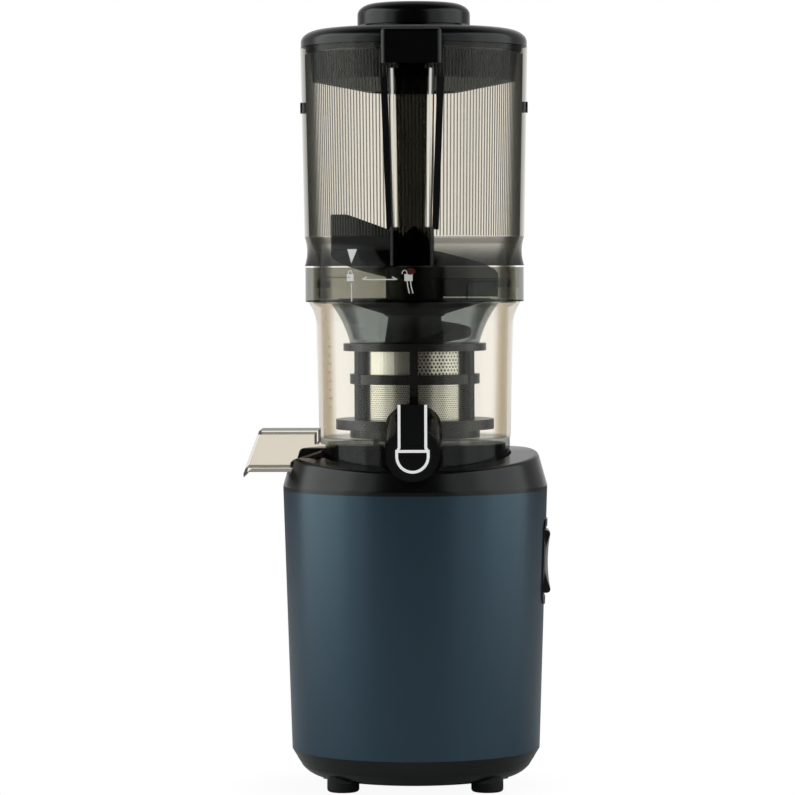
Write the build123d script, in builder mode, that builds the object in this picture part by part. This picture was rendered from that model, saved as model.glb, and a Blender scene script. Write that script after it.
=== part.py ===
from build123d import *
import os
from math import acos, cos, degrees, hypot, pi, radians, sin, sqrt, tan

# Upright cold press juicer, in millimetres. +Z is up, the juice spout and the handle look along -Y,
# the pulp chute along -X. Pieces are drawn about the drive axis (x = 0, y = 0) with the worktop at z = 0,
# and moved at the end so that the footprint's box is centred on the origin.

# ---- fits -----------------------------------------------------------------------------------
RUNNING_FIT = 0.05          # radial clearance of a pin or shaft in its bore
SLIDE_GAP = 0.3             # between pieces that slide or swing past each other
SCREW_FIT = 0.25            # radial clearance of a screw in its hole

# ---- base casing ----------------------------------------------------------------------------
CASE_WALL = 3.0
FOOT_HEIGHT = 6.2
FOOT_RADIUS = 10.3
FOOT_EDGE = 2.0             # rounding of a foot's lower edge
FOOT_INSET = 19.24          # a foot's middle inside the housing's foot radius
FOOT_ANGLE = 41.0           # of the front feet's direction off the x axis
FOOT_HEAD_RECESS = 1.0      # screw head's middle over the worktop
PAN_EDGE = 20.2             # the pan's flat underside ends this far inside its rim
PAN_KNEE = (11.2, 2.8)      # its curved edge passes here, inside the rim and over the underside
PAN_SIDE = (6.4, 7.0)       # and meets the straight side here
PAN_HEIGHT = 17.7
HOUSING_FOOT_RADIUS = 80.2
HOUSING_TOP_RADIUS = 85.4
HOUSING_HEIGHT = 167.4
COVER_HEIGHT = 25.7
COVER_BAND = 2.8            # upright band of the top cover above the housing
COVER_EDGE = 3.0            # rounding of the top cover's outer edges
DECK_RADIUS = 79.0
DECK_SLOPE = 6.0            # degrees, the deck's fall to the front
DECK_CREST = 35.0           # it starts to fall this far behind the axis
DECK_BEND = 300.0           # radius of the bend from level into the slope
RECESS_DEPTH = 17.3
LIP_LENGTH = 6.0            # a cover's lip inside its neighbour
LIP_WALL = 2.5
LIP_GAP = 0.4
COVER_SCREW_INSET = 21.7    # a pan screw inside the housing's foot radius
COVER_SCREW_ANGLE = 22.62   # of the front screws' direction off the x axis
COVER_POST_RADIUS = 5.5
COVER_POST_TOP = 5.0        # the pan's posts end this far above its rim
BOSS_RADIUS = 4.5
BOSS_HEIGHT = 34.0
RIB = 2.5
SCREW_RADIUS = 1.75
SCREW_HEAD_RADIUS = 3.2
SCREW_HEAD_HEIGHT = 2.4
COVER_SCREW_LENGTH = 20.0
VENT_COUNT = 12
VENT_LENGTH = 14.0
VENT_WIDTH = 3.0
VENT_RADIUS = 27.0          # middle of the vent slots
INLET_HEIGHT = 17.8         # cord inlet over the pan's rim
INLET_BORE = 3.2
INLET_RADIUS = 6.0
INLET_FLANGE = 9.0
INLET_PROUD = 2.6

# ---- motor ----------------------------------------------------------------------------------
MOTOR_RADIUS = 36.0
MOTOR_LENGTH = 86.0
MOTOR_RAISE = 5.8           # underside of the can over the pan's rim
CAN_WALL = 1.2
STATOR_BORE = 24.0
STATOR_LENGTH = 58.0
STATOR_RAISE = 14.0
AIR_GAP = 0.7
ROTOR_LENGTH = 54.0
MOTOR_SHAFT_RADIUS = 4.0
END_CAP_HEIGHT = 4.0
BEARING_RADIUS = 11.0
BEARING_WIDTH = 6.0
FAN_RADIUS = 22.0
FAN_BLADES = 9
FAN_HEIGHT = 8.0

# ---- gear train -----------------------------------------------------------------------------
TRAIN_MODULE = 0.8
PINION_TEETH = 14
WHEEL_TEETH = 70
FACE_WIDTH = 7.0            # of the first stage's wheel
OUTPUT_FACE_WIDTH = 9.0
GEAR_ADDENDUM = 0.8         # in modules
GEAR_DEDENDUM = 1.1
TOOTH_SHARE = 0.44          # tooth thickness at the pitch circle, as a share of the pitch
PRESSURE_ANGLE = 20.0
BOX_WALL = 3.0
BOX_CLEARANCE = 1.4
STAGE_GAP = 2.0
IDLER_PIN_RADIUS = 3.0
DRIVE_SHAFT_RADIUS = 6.0
HEX_FLATS = 12.0
HEX_HEIGHT = 14.0
HEX_GAP = 0.15
EAR_RADIUS = 6.0
EAR_THICKNESS = 4.0
BOX_SCREW_LENGTH = 16.0
OUTPUT_BEARING_RADIUS = 12.0
OUTPUT_BEARING_WIDTH = 7.0

# ---- electrics ------------------------------------------------------------------------------
BOARD_WIDTH = 60.0
BOARD_HEIGHT = 72.0
BOARD_THICKNESS = 1.6
BOARD_BACK = 59.6           # distance of the board's rear face from the axis
BOARD_RAISE = 9.8           # its lower edge over the pan's rim
RAIL_WIDTH = 6.0
SWITCH_HEIGHT = 120.9       # rocker's middle over the pan's rim
BEZEL_SIZE = (36.0, 55.0)   # along y and z
BEZEL_CORNER = 7.0
BEZEL_BACK = 70.0           # distance of its inner face from the axis
BEZEL_PROUD = 0.8
POCKET_SIZE = (23.2, 45.4)
POCKET_FLOOR = 73.5
ROCKER_LENGTH = 40.6
ROCKER_WIDTH = 22.0
ROCKER_REACH = 87.7         # distance of the rocker's unrounded tips from the axis
ROCKER_DISH = 2.2
ROCKER_THICKNESS = 5.0
ROCKER_EDGE = 2.4           # rounding of its two tips
ROCKER_PIVOT = 79.0
ROCKER_HUB_RADIUS = 3.6
ROCKER_PIN_RADIUS = 2.0
ROCKER_PIN_LENGTH = 2.6
INLAY_LENGTH = 31.0
INLAY_DEPTH = 2.0           # at its middle
INLAY_END_DEPTH = 0.4
SWITCH_BODY = (14.0, 20.0, 36.0)
RELAY = (18.0, 12.0, 16.0)
TERMINALS = (24.0, 9.0, 10.0)
CAPACITOR = (7.0, 16.0)      # radius, length

# ---- juicing bowl ---------------------------------------------------------------------------
BOWL_WALL = 2.8
SKIRT_RADIUS = 61.3
RECESS_CLEARANCE = 0.9      # between the skirt and the top cover's recess
SKIRT_RIBS = 24
SKIRT_RIB_DEPTH = 8.5
BOWL_FLOOR_THICKNESS = 3.5
FLOOR_OVER_RECESS = 25.0    # top of the bowl's floor over the recess' floor
BOWL_FOOT_RADIUS = 61.9     # outside, just above the floor
BOWL_SHOULDER_RADIUS = 63.6
SHOULDER_RAISE = 73.0       # where the wall ends and the curved shoulder starts, over the floor
SHOULDER_HEIGHT = 15.3
SHOULDER_TOP_RADIUS = 69.0
BOWL_RING_RADIUS = 70.5     # of the upright ring that steps out over the shoulder
BOWL_RIM_RAISE = 110.0      # rim over the floor
GROOVE_OVERLAP = 1.0        # the bayonet grooves' cut starts this far inside the bore
LEDGE_RAISE = 87.0
RIM_BORE = 65.8
HUB_RADIUS = 14.0
HUB_DROP = 14.0             # hub tube below the floor's underside
JOURNAL_RADIUS = 11.0
SEAL_RADIUS = 13.0
SEAL_HEIGHT = 3.0
LUG_RADIUS = 5.0
LUG_HEIGHT = 10.0
LUG_CIRCLE = 44.0
LUG_ANGLES = (60.0, 0.0, -60.0)
SOCKET_WALL = 2.0
SOCKET_GAP = 0.4

# ---- pulp chute -----------------------------------------------------------------------------
CHUTE_WIDTH = 44.0
CHUTE_BOTTOM = 21.1         # below the floor's top
CHUTE_TOP = 5.4             # above the floor's top
CHUTE_WALL = 2.5
CHUTE_REACH = 107.3
CHUTE_SLANT = 7.5
CHUTE_LIP = 2.7
CHUTE_LIP_DROP = 3.5
CHUTE_CLEARANCE = 1.5       # around it in the top cover's notch
PULP_HOLE_INNER = 15.6
PULP_HOLE_OUTER = 26.9
PULP_HOLE_HALF_ANGLE = 40.0
UPSTAND_WALL = 1.5
PACKING_LENGTH = 19.5
PACKING_HEIGHT = 9.8
PACKING_TIP = 3.3           # height of its outer end
PACKING_START = 60.5

# ---- juice spout and its cap ----------------------------------------------------------------
SPOUT_HALF_WIDTH = 18.0
SPOUT_HALF_HEIGHT = 15.0
SPOUT_WALL = 2.6
SPOUT_FALL = 22.0           # degrees
SPOUT_END = 96.0            # distance of its mouth from the axis
SPOUT_END_HEIGHT = -6.1     # middle of the mouth, over the floor's top
CAP_RADIUS = 17.0
CAP_SEAL = 2.5
CAP_THICKNESS = 5.5
LEVER_WIDTH = 18.2
LEVER_TAB_WIDTH = 21.2
LEVER_THICKNESS = 3.6
LEVER_TOP = 24.8            # over the floor's top
LEVER_BOTTOM = -17.7
LEVER_TAB_HEIGHT = 14.6
LEVER_TRIM = 1.7
LEVER_PIN_RADIUS = 1.6
LEVER_PIN_INSET = 3.6       # pin's middle below the lever's top edge
LEVER_HUB_RADIUS = 3.6
SPOUT_TONGUE_WIDTH = 6.9

# ---- wiper, strainer and auger --------------------------------------------------------------
BOWL_MODULE = 1.25
SUN_TEETH = 20
PLANET_TEETH = 14
BOWL_GEAR_RAISE = 1.5       # underside of the gears over the floor
BOWL_GEAR_WIDTH = 6.0
PLANET_PIN_RADIUS = 2.5
WIPER_FOOT_HEIGHT = 12.1
WIPER_FOOT_RADIUS = 51.1
WIPER_FLANGE_HEIGHT = 6.4
WIPER_RING_RADIUS = 42.0
WIPER_MIDDLE_RAISE = 35.0
WIPER_MIDDLE_HEIGHT = 6.3
WIPER_TOP_RAISE = 56.3
WIPER_TOP_HEIGHT = 4.7
WIPER_TOP_RADIUS = 46.2
WIPER_BORE = 38.9
WIPER_POSTS = 6
POST_WIDTH = 5.3
POST_OUTER = 43.0
POST_WALL = 1.0             # left outside the blade's slot
BLADE_THICKNESS = 1.2
STRAINER_RADIUS = 37.5
STRAINER_SHEET = 0.6
STRAINER_RAISE = 10.0       # underside over the floor
STRAINER_FLOOR = 2.0
STRAINER_BORE = 14.2
COLLAR_RAISE = 61.0         # underside of the funnel over the floor
COLLAR_FOOT_RADIUS = 41.8
COLLAR_WAIST = 1.5          # the funnel's side curves in by this much at its middle
COLLAR_TOP_RADIUS = 54.3
COLLAR_FLANGE = 2.5
COLLAR_WALL = 2.5
AUGER_CLEARANCE = 0.7
AUGER_FOOT_RADIUS = 27.0
AUGER_TOP_RADIUS = 17.0
AUGER_HEIGHT = 66.0
FLIGHT_PITCH = 26.0
FLIGHT_THICKNESS = 4.0
INSERT_RADIUS = 9.4
SCREW_SHOULDER_DROP = 15.0  # cone's shoulder and its tip, below the wing's top
SCREW_TIP_DROP = 7.5
SCREW_TIP_RADIUS = 9.0
WING_RADIUS = 54.0
WING_RISE = 42.0
WING_TURN = 200.0           # degrees
WING_END = 190.0            # direction of its free end
WING_ROOT = 4.5             # its inner edge off the axis
WING_SLOPE = (44.0, 16.0)   # its end is cut off along a line that falls this much over this length
WING_DEPTH = 24.0
WING_CLEARANCE = 1.5        # over the collar's flange
WING_TOP = 144.5            # over the floor

# ---- hopper ---------------------------------------------------------------------------------
NECK_GAP = 0.3
NECK_WALL = 3.2
BASE_RING_HEIGHT = 18.7
BASE_RING_WAIST = 1.6
BASE_RING_RAISE = 1.0       # over the bowl's rim
HOPPER_FOOT_RADIUS = 70.9
HOPPER_RIM_RADIUS = 73.2
HOPPER_HEIGHT = 121.9
HOPPER_WALL = 2.8
LUG_PROUD = 1.7             # bayonet lugs outside the neck
BAYONET_HEIGHT = 5.0
BAYONET_RAISE = 10.0        # underside of the lugs over the ledge
BAYONET_ANGLE = 14.0
BAYONET_COUNT = 3
TWIST = 33.0
TWIST_SLACK = 2.0
HANDLE_REACH = 108.0
HANDLE_THICKNESS = 12.0
HANDLE_TOP_WIDTH = 29.0
HANDLE_FOOT_WIDTH = 23.8
HANDLE_BLOCK_WIDTH = 27.0
HANDLE_BLOCK_HEIGHT = 24.1
HANDLE_ARM_HEIGHT = 14.0
HANDLE_ARM_WIDTH = 20.0
HANDLE_TOP_BELOW_RIM = 18.6
HANDLE_EDGE = 2.5
BLOCK_EDGE = 3.2            # rounding of the latch and of the handle's foot
SIDE_PLUG_RADIUS = 3.6
SIDE_PLUG_BELOW_RIM = 38.6
SIDE_PLUG_PROUD = 0.9

# ---- lid, latch and feed cap ----------------------------------------------------------------
LID_RADIUS = 72.9
LID_THICKNESS = 11.1
LID_PLATE = 3.0
LID_EDGE = (14.0, 8.0)      # width and height of its rounding
PLUG_RADIUS = 67.3
PLUG_FOOT_RADIUS = 65.6
PLUG_DEPTH = 22.0           # down to where the dome starts
PLUG_DOME = 7.0
PLUG_WALL = 2.5
LID_SEAL_RADIUS = 69.6
LID_SEAL_HEIGHT = 3.0
FEED_BORE = 27.5
CAP_KNOB_RADIUS = 36.3
CAP_KNOB_HEIGHT = 14.0
CAP_KNOB_EDGE = (12.0, 7.5)
CAP_NECK_HEIGHT = 3.0
CAP_NECK_RADIUS = 31.0
CAP_STEM_DEPTH = 14.0
CAP_STEM_GAP = 0.5
HINGE_REACH = 79.5          # lid hinge's pin behind the axis
HINGE_PIN_RADIUS = 2.0
HINGE_HUB_RADIUS = 5.0
HINGE_RAISE = 3.4           # pin over the hopper's rim
HINGE_WIDTH = 34.0
HINGE_KNUCKLE = 12.0
LATCH_WIDTH = 37.5
LATCH_HEIGHT = 21.5
LATCH_TOP_RAISE = 6.1       # over the hopper's rim
LATCH_TOP_EDGE = 2.4
LATCH_INNER_REACH = 76.2
LATCH_WALL = 3.0
LATCH_PIVOT = (92.0, 1.8)   # distance before the axis, height below the hopper's rim
LATCH_PIN_RADIUS = 2.0
TONGUE_WIDTH = 16.0
TONGUE_THICKNESS = 9.0

# ---- levels that follow from the sizes above ------------------------------------------------
pan_z = FOOT_HEIGHT
housing_z = pan_z + PAN_HEIGHT
cover_z = housing_z + HOUSING_HEIGHT
deck_z = cover_z + COVER_HEIGHT
recess_z = deck_z - RECESS_DEPTH
floor_z = recess_z + FLOOR_OVER_RECESS
ledge_z = floor_z + LEDGE_RAISE
rim_z = floor_z + BOWL_RIM_RAISE
ring_z = rim_z + BASE_RING_RAISE
hopper_z = ring_z + BASE_RING_HEIGHT
hopper_rim_z = hopper_z + HOPPER_HEIGHT
lid_z = hopper_rim_z + SLIDE_GAP
lid_top_z = lid_z + LID_THICKNESS
motor_z = housing_z + MOTOR_RAISE
end_cap_z = motor_z + MOTOR_LENGTH
gearbox_z = end_cap_z + END_CAP_HEIGHT
switch_z = housing_z + SWITCH_HEIGHT

recess_radius = SKIRT_RADIUS + RECESS_CLEARANCE
cavity_top_radius = HOUSING_TOP_RADIUS - CASE_WALL
housing_flare = (HOUSING_TOP_RADIUS - HOUSING_FOOT_RADIUS) / HOUSING_HEIGHT


def housing_radius(height):
    """Outer radius of the housing at a height over the worktop."""
    return HOUSING_FOOT_RADIUS + housing_flare * (height - housing_z)


# ---- ways of shaping that several pieces share ----------------------------------------------
def turned(*outline, mode=Mode.ADD):
    """Revolve a closed outline of (radius, height) points about the drive axis."""
    with BuildSketch(Plane.XZ) as profile:
        Polygon(*outline, align=None)
    revolve(profile.sketch, axis=Axis.Z, mode=mode)


def ring(inner, outer, bottom, top, mode=Mode.ADD):
    """A round band about the drive axis."""
    turned((inner, bottom), (outer, bottom), (outer, top), (inner, top), mode=mode)


def post(radius, bottom, top, x=0.0, y=0.0, mode=Mode.ADD):
    """An upright round bar from one height to another."""
    with BuildSketch(Plane.XY.offset(bottom)) as section:
        with Locations((x, y)):
            Circle(radius)
    extrude(section.sketch, amount=top - bottom, mode=mode)


def rounded_disc(radius, bottom, top, edge):
    """A disc whose upper edge is a quarter of an ellipse. The edge is given by its width and height."""
    width, height = edge
    with BuildSketch(Plane.XZ) as profile:
        with BuildLine():
            rounding = EllipticalCenterArc((radius - width, top - height), width, height, arc_size=90)
            Polyline(rounding @ 1, (0, top), (0, bottom), (radius, bottom), rounding @ 0)
        make_face()
    revolve(profile.sketch, axis=Axis.Z)


def block(low, high, mode=Mode.ADD):
    """A box from its low corner to its high corner."""
    size = [b - a for a, b in zip(low, high)]
    with Locations(low):
        Box(*size, align=(Align.MIN, Align.MIN, Align.MIN), mode=mode)


def side_shape(outline, half_width, mode=Mode.ADD):
    """Extrude a closed outline of (y, z) points both ways along x."""
    with BuildSketch(Plane.YZ) as profile:
        Polygon(*outline, align=None)
    extrude(profile.sketch, amount=half_width, both=True, mode=mode)


def cross_pin(radius, half_length, y, z, mode=Mode.ADD):
    """A round bar along x, centred on x = 0."""
    with BuildSketch(Plane.YZ) as section:
        with Locations((y, z)):
            Circle(radius)
    extrude(section.sketch, amount=half_length, both=True, mode=mode)


def involute(radius, base_radius):
    """Angle that an involute has turned through where it crosses a radius."""
    if radius <= base_radius:
        return 0.0
    pressure = acos(base_radius / radius)
    return tan(pressure) - pressure


def gear_outline(teeth, module, tooth_at, addendum=GEAR_ADDENDUM, dedendum=GEAR_DEDENDUM, share=TOOTH_SHARE):
    """Points of a spur gear's edge, one tooth centred at tooth_at degrees, three points to a flank."""
    pitch_radius = teeth * module / 2
    base_radius = pitch_radius * cos(radians(PRESSURE_ANGLE))
    radii = (pitch_radius - dedendum * module, pitch_radius, pitch_radius + addendum * module)
    at_pitch = pi * share / teeth + involute(pitch_radius, base_radius)
    halves = [at_pitch - involute(radius, base_radius) for radius in radii]
    flank = list(zip(radii, halves))
    points = []
    for tooth in range(teeth):
        middle = radians(tooth_at) + 2 * pi * tooth / teeth
        points += [(radius * cos(middle - half), radius * sin(middle - half)) for radius, half in flank]
        points += [(radius * cos(middle + half), radius * sin(middle + half)) for radius, half in flank[::-1]]
    return points


def toothed(outline, bottom, top, x=0.0, y=0.0, mode=Mode.ADD):
    """Extrude a gear's edge between two heights, its middle at (x, y)."""
    with BuildSketch(Plane.XY.offset(bottom)) as section:
        Polygon(*[(x + px, y + py) for px, py in outline], align=None)
    extrude(section.sketch, amount=top - bottom, mode=mode)


def pitch_radius(teeth, module):
    return teeth * module / 2


def four_points(radius, angle):
    """Four places on a circle, each at the same angle off the x axis."""
    x, y = radius * cos(radians(angle)), radius * sin(radians(angle))
    return [(-x, -y), (-x, y), (x, -y), (x, y)]


# =============================================================================================
# Base
# =============================================================================================
# Bottom cover: a moulded pan with wells for its four screws, seats for the feet and a ring of vents.
foot_points = four_points(HOUSING_FOOT_RADIUS - FOOT_INSET, FOOT_ANGLE)
cover_screw_points = four_points(HOUSING_FOOT_RADIUS - COVER_SCREW_INSET, COVER_SCREW_ANGLE)
well_top = housing_z + COVER_POST_TOP
with BuildPart() as bottom_cover:
    with BuildSketch(Plane.XZ) as pan_profile:
        with BuildLine():
            underside = Line((0, pan_z), (HOUSING_FOOT_RADIUS - PAN_EDGE, pan_z))
            knee = (HOUSING_FOOT_RADIUS - PAN_KNEE[0], pan_z + PAN_KNEE[1])
            side_foot = (HOUSING_FOOT_RADIUS - PAN_SIDE[0], pan_z + PAN_SIDE[1])
            ThreePointArc(underside @ 1, knee, side_foot)
            Polyline(side_foot, (HOUSING_FOOT_RADIUS, housing_z), (0, housing_z), (0, pan_z))
        make_face()
    revolve(pan_profile.sketch, axis=Axis.Z)
    offset(amount=-CASE_WALL, openings=bottom_cover.faces().sort_by(Axis.Z)[-1])
    pan_bore = HOUSING_FOOT_RADIUS - CASE_WALL
    lip_outer = pan_bore - LIP_GAP
    ring(lip_outer - LIP_WALL, lip_outer, housing_z - LIP_LENGTH, housing_z + LIP_LENGTH)
    for x, y in foot_points:
        post(FOOT_RADIUS, pan_z, pan_z + 2 * CASE_WALL, x, y)
        post(SCREW_RADIUS, pan_z, pan_z + 2 * CASE_WALL, x, y, mode=Mode.SUBTRACT)
    for x, y in cover_screw_points:
        post(COVER_POST_RADIUS, pan_z, well_top, x, y)
        post(SCREW_RADIUS + SCREW_FIT, pan_z, well_top, x, y, mode=Mode.SUBTRACT)
        post(SCREW_HEAD_RADIUS + SCREW_FIT, pan_z, housing_z, x, y, mode=Mode.SUBTRACT)
    with BuildSketch(Plane.XY.offset(pan_z)) as vents:
        with PolarLocations(VENT_RADIUS, VENT_COUNT):
            SlotOverall(VENT_LENGTH, VENT_WIDTH)
    extrude(vents.sketch, amount=CASE_WALL, mode=Mode.SUBTRACT)
bottom_cover.part.label = "bottom_cover"

# Feet: four rubber pads, each held by a screw from below into the pan.
foot_head_top_z = FOOT_HEAD_RECESS + SCREW_HEAD_HEIGHT / 2
with BuildPart() as rubber_feet:
    for x, y in foot_points:
        post(FOOT_RADIUS, 0, FOOT_HEIGHT, x, y)
    fillet(rubber_feet.edges().filter_by_position(Axis.Z, 0, 0), FOOT_EDGE)
    for x, y in foot_points:
        post(SCREW_RADIUS, 0, FOOT_HEIGHT, x, y, mode=Mode.SUBTRACT)
        post(SCREW_HEAD_RADIUS, 0, foot_head_top_z, x, y, mode=Mode.SUBTRACT)
rubber_feet.part.label = "rubber_feet"

with BuildPart() as foot_screws:
    for x, y in foot_points:
        post(SCREW_HEAD_RADIUS, FOOT_HEAD_RECESS / 2, foot_head_top_z, x, y)
        post(SCREW_RADIUS, foot_head_top_z, pan_z + 2 * CASE_WALL, x, y)
foot_screws.part.label = "foot_screws"

# Housing: a tapered shell with bosses for the pan, rails for the board, the switch window and the inlet hole.
inlet_z = housing_z + INLET_HEIGHT
wall_reach = HOUSING_FOOT_RADIUS + HOUSING_TOP_RADIUS
with BuildPart() as base_housing:
    turned(
        (HOUSING_FOOT_RADIUS - CASE_WALL, housing_z),
        (HOUSING_FOOT_RADIUS, housing_z),
        (HOUSING_TOP_RADIUS, cover_z),
        (HOUSING_TOP_RADIUS - CASE_WALL, cover_z),
    )
    for x, y in cover_screw_points:
        wall_x = (1 if x > 0 else -1) * sqrt((HOUSING_FOOT_RADIUS - CASE_WALL / 2) ** 2 - y**2)
        low_x, high_x = sorted((x, wall_x))
        post(BOSS_RADIUS, well_top, well_top + BOSS_HEIGHT, x, y)
        block(
            (low_x, y - RIB / 2, housing_z + LIP_LENGTH + LIP_GAP),
            (high_x, y + RIB / 2, well_top + BOSS_HEIGHT),
        )
        post(SCREW_RADIUS, well_top, housing_z + COVER_SCREW_LENGTH, x, y, mode=Mode.SUBTRACT)
    rail_bottom = housing_z + BOARD_RAISE
    board_front = BOARD_BACK - BOARD_THICKNESS
    rail_front = board_front - CASE_WALL
    for side in (-1, 1):
        inner_x = side * (BOARD_WIDTH / 2 - RAIL_WIDTH / 2)
        outer_x = side * (BOARD_WIDTH / 2 + RAIL_WIDTH / 2)
        wall_y = sqrt((HOUSING_FOOT_RADIUS - CASE_WALL / 2) ** 2 - outer_x**2)
        low_x, high_x = sorted((inner_x, outer_x))
        block((low_x, rail_front, rail_bottom), (high_x, wall_y, rail_bottom + BOARD_HEIGHT))
    block(
        (-BOARD_WIDTH / 2, board_front, rail_bottom),
        (BOARD_WIDTH / 2, BOARD_BACK, rail_bottom + BOARD_HEIGHT),
        mode=Mode.SUBTRACT,
    )
    with BuildSketch(Plane.YZ) as window:
        with Locations((0, switch_z)):
            RectangleRounded(*BEZEL_SIZE, BEZEL_CORNER)
    extrude(window.sketch, amount=wall_reach, mode=Mode.SUBTRACT)
    with BuildSketch(Plane.XZ) as inlet_hole:
        with Locations((0, inlet_z)):
            Circle(INLET_RADIUS)
    extrude(inlet_hole.sketch, amount=-wall_reach, mode=Mode.SUBTRACT)
base_housing.part.label = "base_housing"

with BuildPart() as cover_screws:
    for x, y in cover_screw_points:
        post(SCREW_HEAD_RADIUS, housing_z - SCREW_HEAD_HEIGHT, housing_z, x, y)
        post(SCREW_RADIUS, housing_z, housing_z + COVER_SCREW_LENGTH, x, y)
cover_screws.part.label = "cover_screws"

# Cord inlet: a flanged bush through the rear wall. Its flat flanges clear the curved wall at their edges.
inlet_edges = [housing_radius(inlet_z + side * INLET_FLANGE) for side in (-1, 1)]
inlet_wall = max(inlet_edges)
inlet_inner = sqrt((min(inlet_edges) - CASE_WALL) ** 2 - INLET_FLANGE**2)
with BuildPart() as cord_inlet:
    with BuildSketch(Plane.XZ.offset(-inlet_wall)) as outer_flange:
        with Locations((0, inlet_z)):
            Circle(INLET_FLANGE)
    extrude(outer_flange.sketch, amount=-INLET_PROUD)
    with BuildSketch(Plane.XZ.offset(-inlet_inner + CASE_WALL)) as barrel:
        with Locations((0, inlet_z)):
            Circle(INLET_RADIUS)
    extrude(barrel.sketch, amount=-(inlet_wall - inlet_inner + CASE_WALL))
    with BuildSketch(Plane.XZ.offset(-inlet_inner + CASE_WALL)) as inner_flange:
        with Locations((0, inlet_z)):
            Circle(INLET_FLANGE)
    extrude(inner_flange.sketch, amount=-CASE_WALL)
    with BuildSketch(Plane.XZ) as cord_hole:
        with Locations((0, inlet_z)):
            Circle(INLET_BORE)
    extrude(cord_hole.sketch, amount=-wall_reach, mode=Mode.SUBTRACT)
cord_inlet.part.label = "cord_inlet"

# Levels of the chute and the gearbox that the top cover follows.
chute_bottom_z = floor_z - CHUTE_BOTTOM
chute_top_z = floor_z + CHUTE_TOP
notch_z = chute_bottom_z - CHUTE_CLEARANCE
notch_half = CHUTE_WIDTH / 2 + CHUTE_CLEARANCE
train_radius = pitch_radius(WHEEL_TEETH, TRAIN_MODULE) + GEAR_ADDENDUM * TRAIN_MODULE
idler_y = pitch_radius(PINION_TEETH + WHEEL_TEETH, TRAIN_MODULE)
box_inner = train_radius + BOX_CLEARANCE
box_outer = box_inner + BOX_WALL
first_stage_z = gearbox_z + BOX_WALL + BOX_CLEARANCE
second_stage_z = first_stage_z + FACE_WIDTH + STAGE_GAP
box_cover_z = second_stage_z + OUTPUT_FACE_WIDTH + BOX_CLEARANCE
box_top_z = box_cover_z + BOX_WALL
ear_points = [(side * (box_outer + EAR_RADIUS - BOX_CLEARANCE), y) for side in (-1, 1) for y in (0, idler_y)]


def deck_slope(drop):
    """Cut away what is above the deck, lowered by drop. It bends smoothly from level into its slope."""
    reach = 2 * HOUSING_TOP_RADIUS
    level = deck_z - drop
    with BuildSketch(Plane.YZ) as profile:
        with BuildLine():
            bend = CenterArc((DECK_CREST, level - DECK_BEND), DECK_BEND, 90, DECK_SLOPE)
            slope = PolarLine(bend @ 1, reach, 180 + DECK_SLOPE)
            Polyline(slope @ 1, (-reach, level + reach), (DECK_CREST, level + reach), bend @ 0)
        make_face()
    extrude(profile.sketch, amount=reach, both=True, mode=Mode.SUBTRACT)


def is_cover_rim(edge):
    """True on the edges round the top cover's bevel, above and below it."""
    middle = edge @ 0.5
    return middle.Z > cover_z + COVER_BAND / 2 and hypot(middle.X, middle.Y) > DECK_RADIUS - COVER_BAND


# Space under the deck, less what reaches into it: the recess, the notch and the pillars of the gearbox.
with BuildPart() as cover_cavity:
    turned(
        (0, cover_z),
        (cavity_top_radius, cover_z),
        (cavity_top_radius, cover_z + COVER_BAND - CASE_WALL / 2),
        (DECK_RADIUS - CASE_WALL, deck_z - CASE_WALL),
        (0, deck_z - CASE_WALL),
    )
    deck_slope(CASE_WALL)
    post(recess_radius + CASE_WALL, recess_z - CASE_WALL, deck_z, mode=Mode.SUBTRACT)
    block(
        (-HOUSING_TOP_RADIUS, -notch_half - CASE_WALL, notch_z - CASE_WALL),
        (-recess_radius, notch_half + CASE_WALL, deck_z),
        mode=Mode.SUBTRACT,
    )
    for x, y in ear_points:
        post(EAR_RADIUS, cover_z, deck_z, x, y, mode=Mode.SUBTRACT)

# Top cover: deck with a round recess for the bowl, a notch for the chute, lugs that hold the bowl from
# turning, a collar for the shaft seal and the pillars that carry the gearbox.
seal_bore = DRIVE_SHAFT_RADIUS + 3 * RUNNING_FIT
seal_outer = DRIVE_SHAFT_RADIUS + CASE_WALL
with BuildPart() as top_cover:
    turned(
        (0, cover_z),
        (HOUSING_TOP_RADIUS, cover_z),
        (HOUSING_TOP_RADIUS, cover_z + COVER_BAND),
        (DECK_RADIUS, deck_z),
        (0, deck_z),
    )
    deck_slope(0.0)
    fillet(top_cover.edges().filter_by(is_cover_rim), COVER_EDGE)
    add(cover_cavity.part, mode=Mode.SUBTRACT)
    post(recess_radius, recess_z, deck_z, mode=Mode.SUBTRACT)
    block(
        (-2 * HOUSING_TOP_RADIUS, -notch_half, notch_z),
        (-recess_radius / 2, notch_half, deck_z),
        mode=Mode.SUBTRACT,
    )
    turned(
        (cavity_top_radius - LIP_WALL, cover_z - LIP_LENGTH),
        (cavity_top_radius - LIP_GAP, cover_z - LIP_LENGTH),
        (cavity_top_radius - LIP_GAP, cover_z),
        (cavity_top_radius, cover_z),
        (cavity_top_radius, cover_z + COVER_BAND / 2),
        (cavity_top_radius - LIP_WALL, cover_z + COVER_BAND / 2),
    )
    ring(seal_outer, seal_outer + RIB, recess_z - CASE_WALL, recess_z + CASE_WALL)
    post(seal_outer, recess_z - CASE_WALL, recess_z + CASE_WALL, mode=Mode.SUBTRACT)
    for angle in LUG_ANGLES:
        lug_x, lug_y = LUG_CIRCLE * cos(radians(angle)), LUG_CIRCLE * sin(radians(angle))
        post(LUG_RADIUS, recess_z, recess_z + LUG_HEIGHT, lug_x, lug_y)
    for x, y in ear_points:
        post(EAR_RADIUS, box_top_z, recess_z - CASE_WALL, x, y)
        post(SCREW_RADIUS, box_top_z, box_top_z + BOX_SCREW_LENGTH, x, y, mode=Mode.SUBTRACT)
top_cover.part.label = "top_cover"

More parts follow.
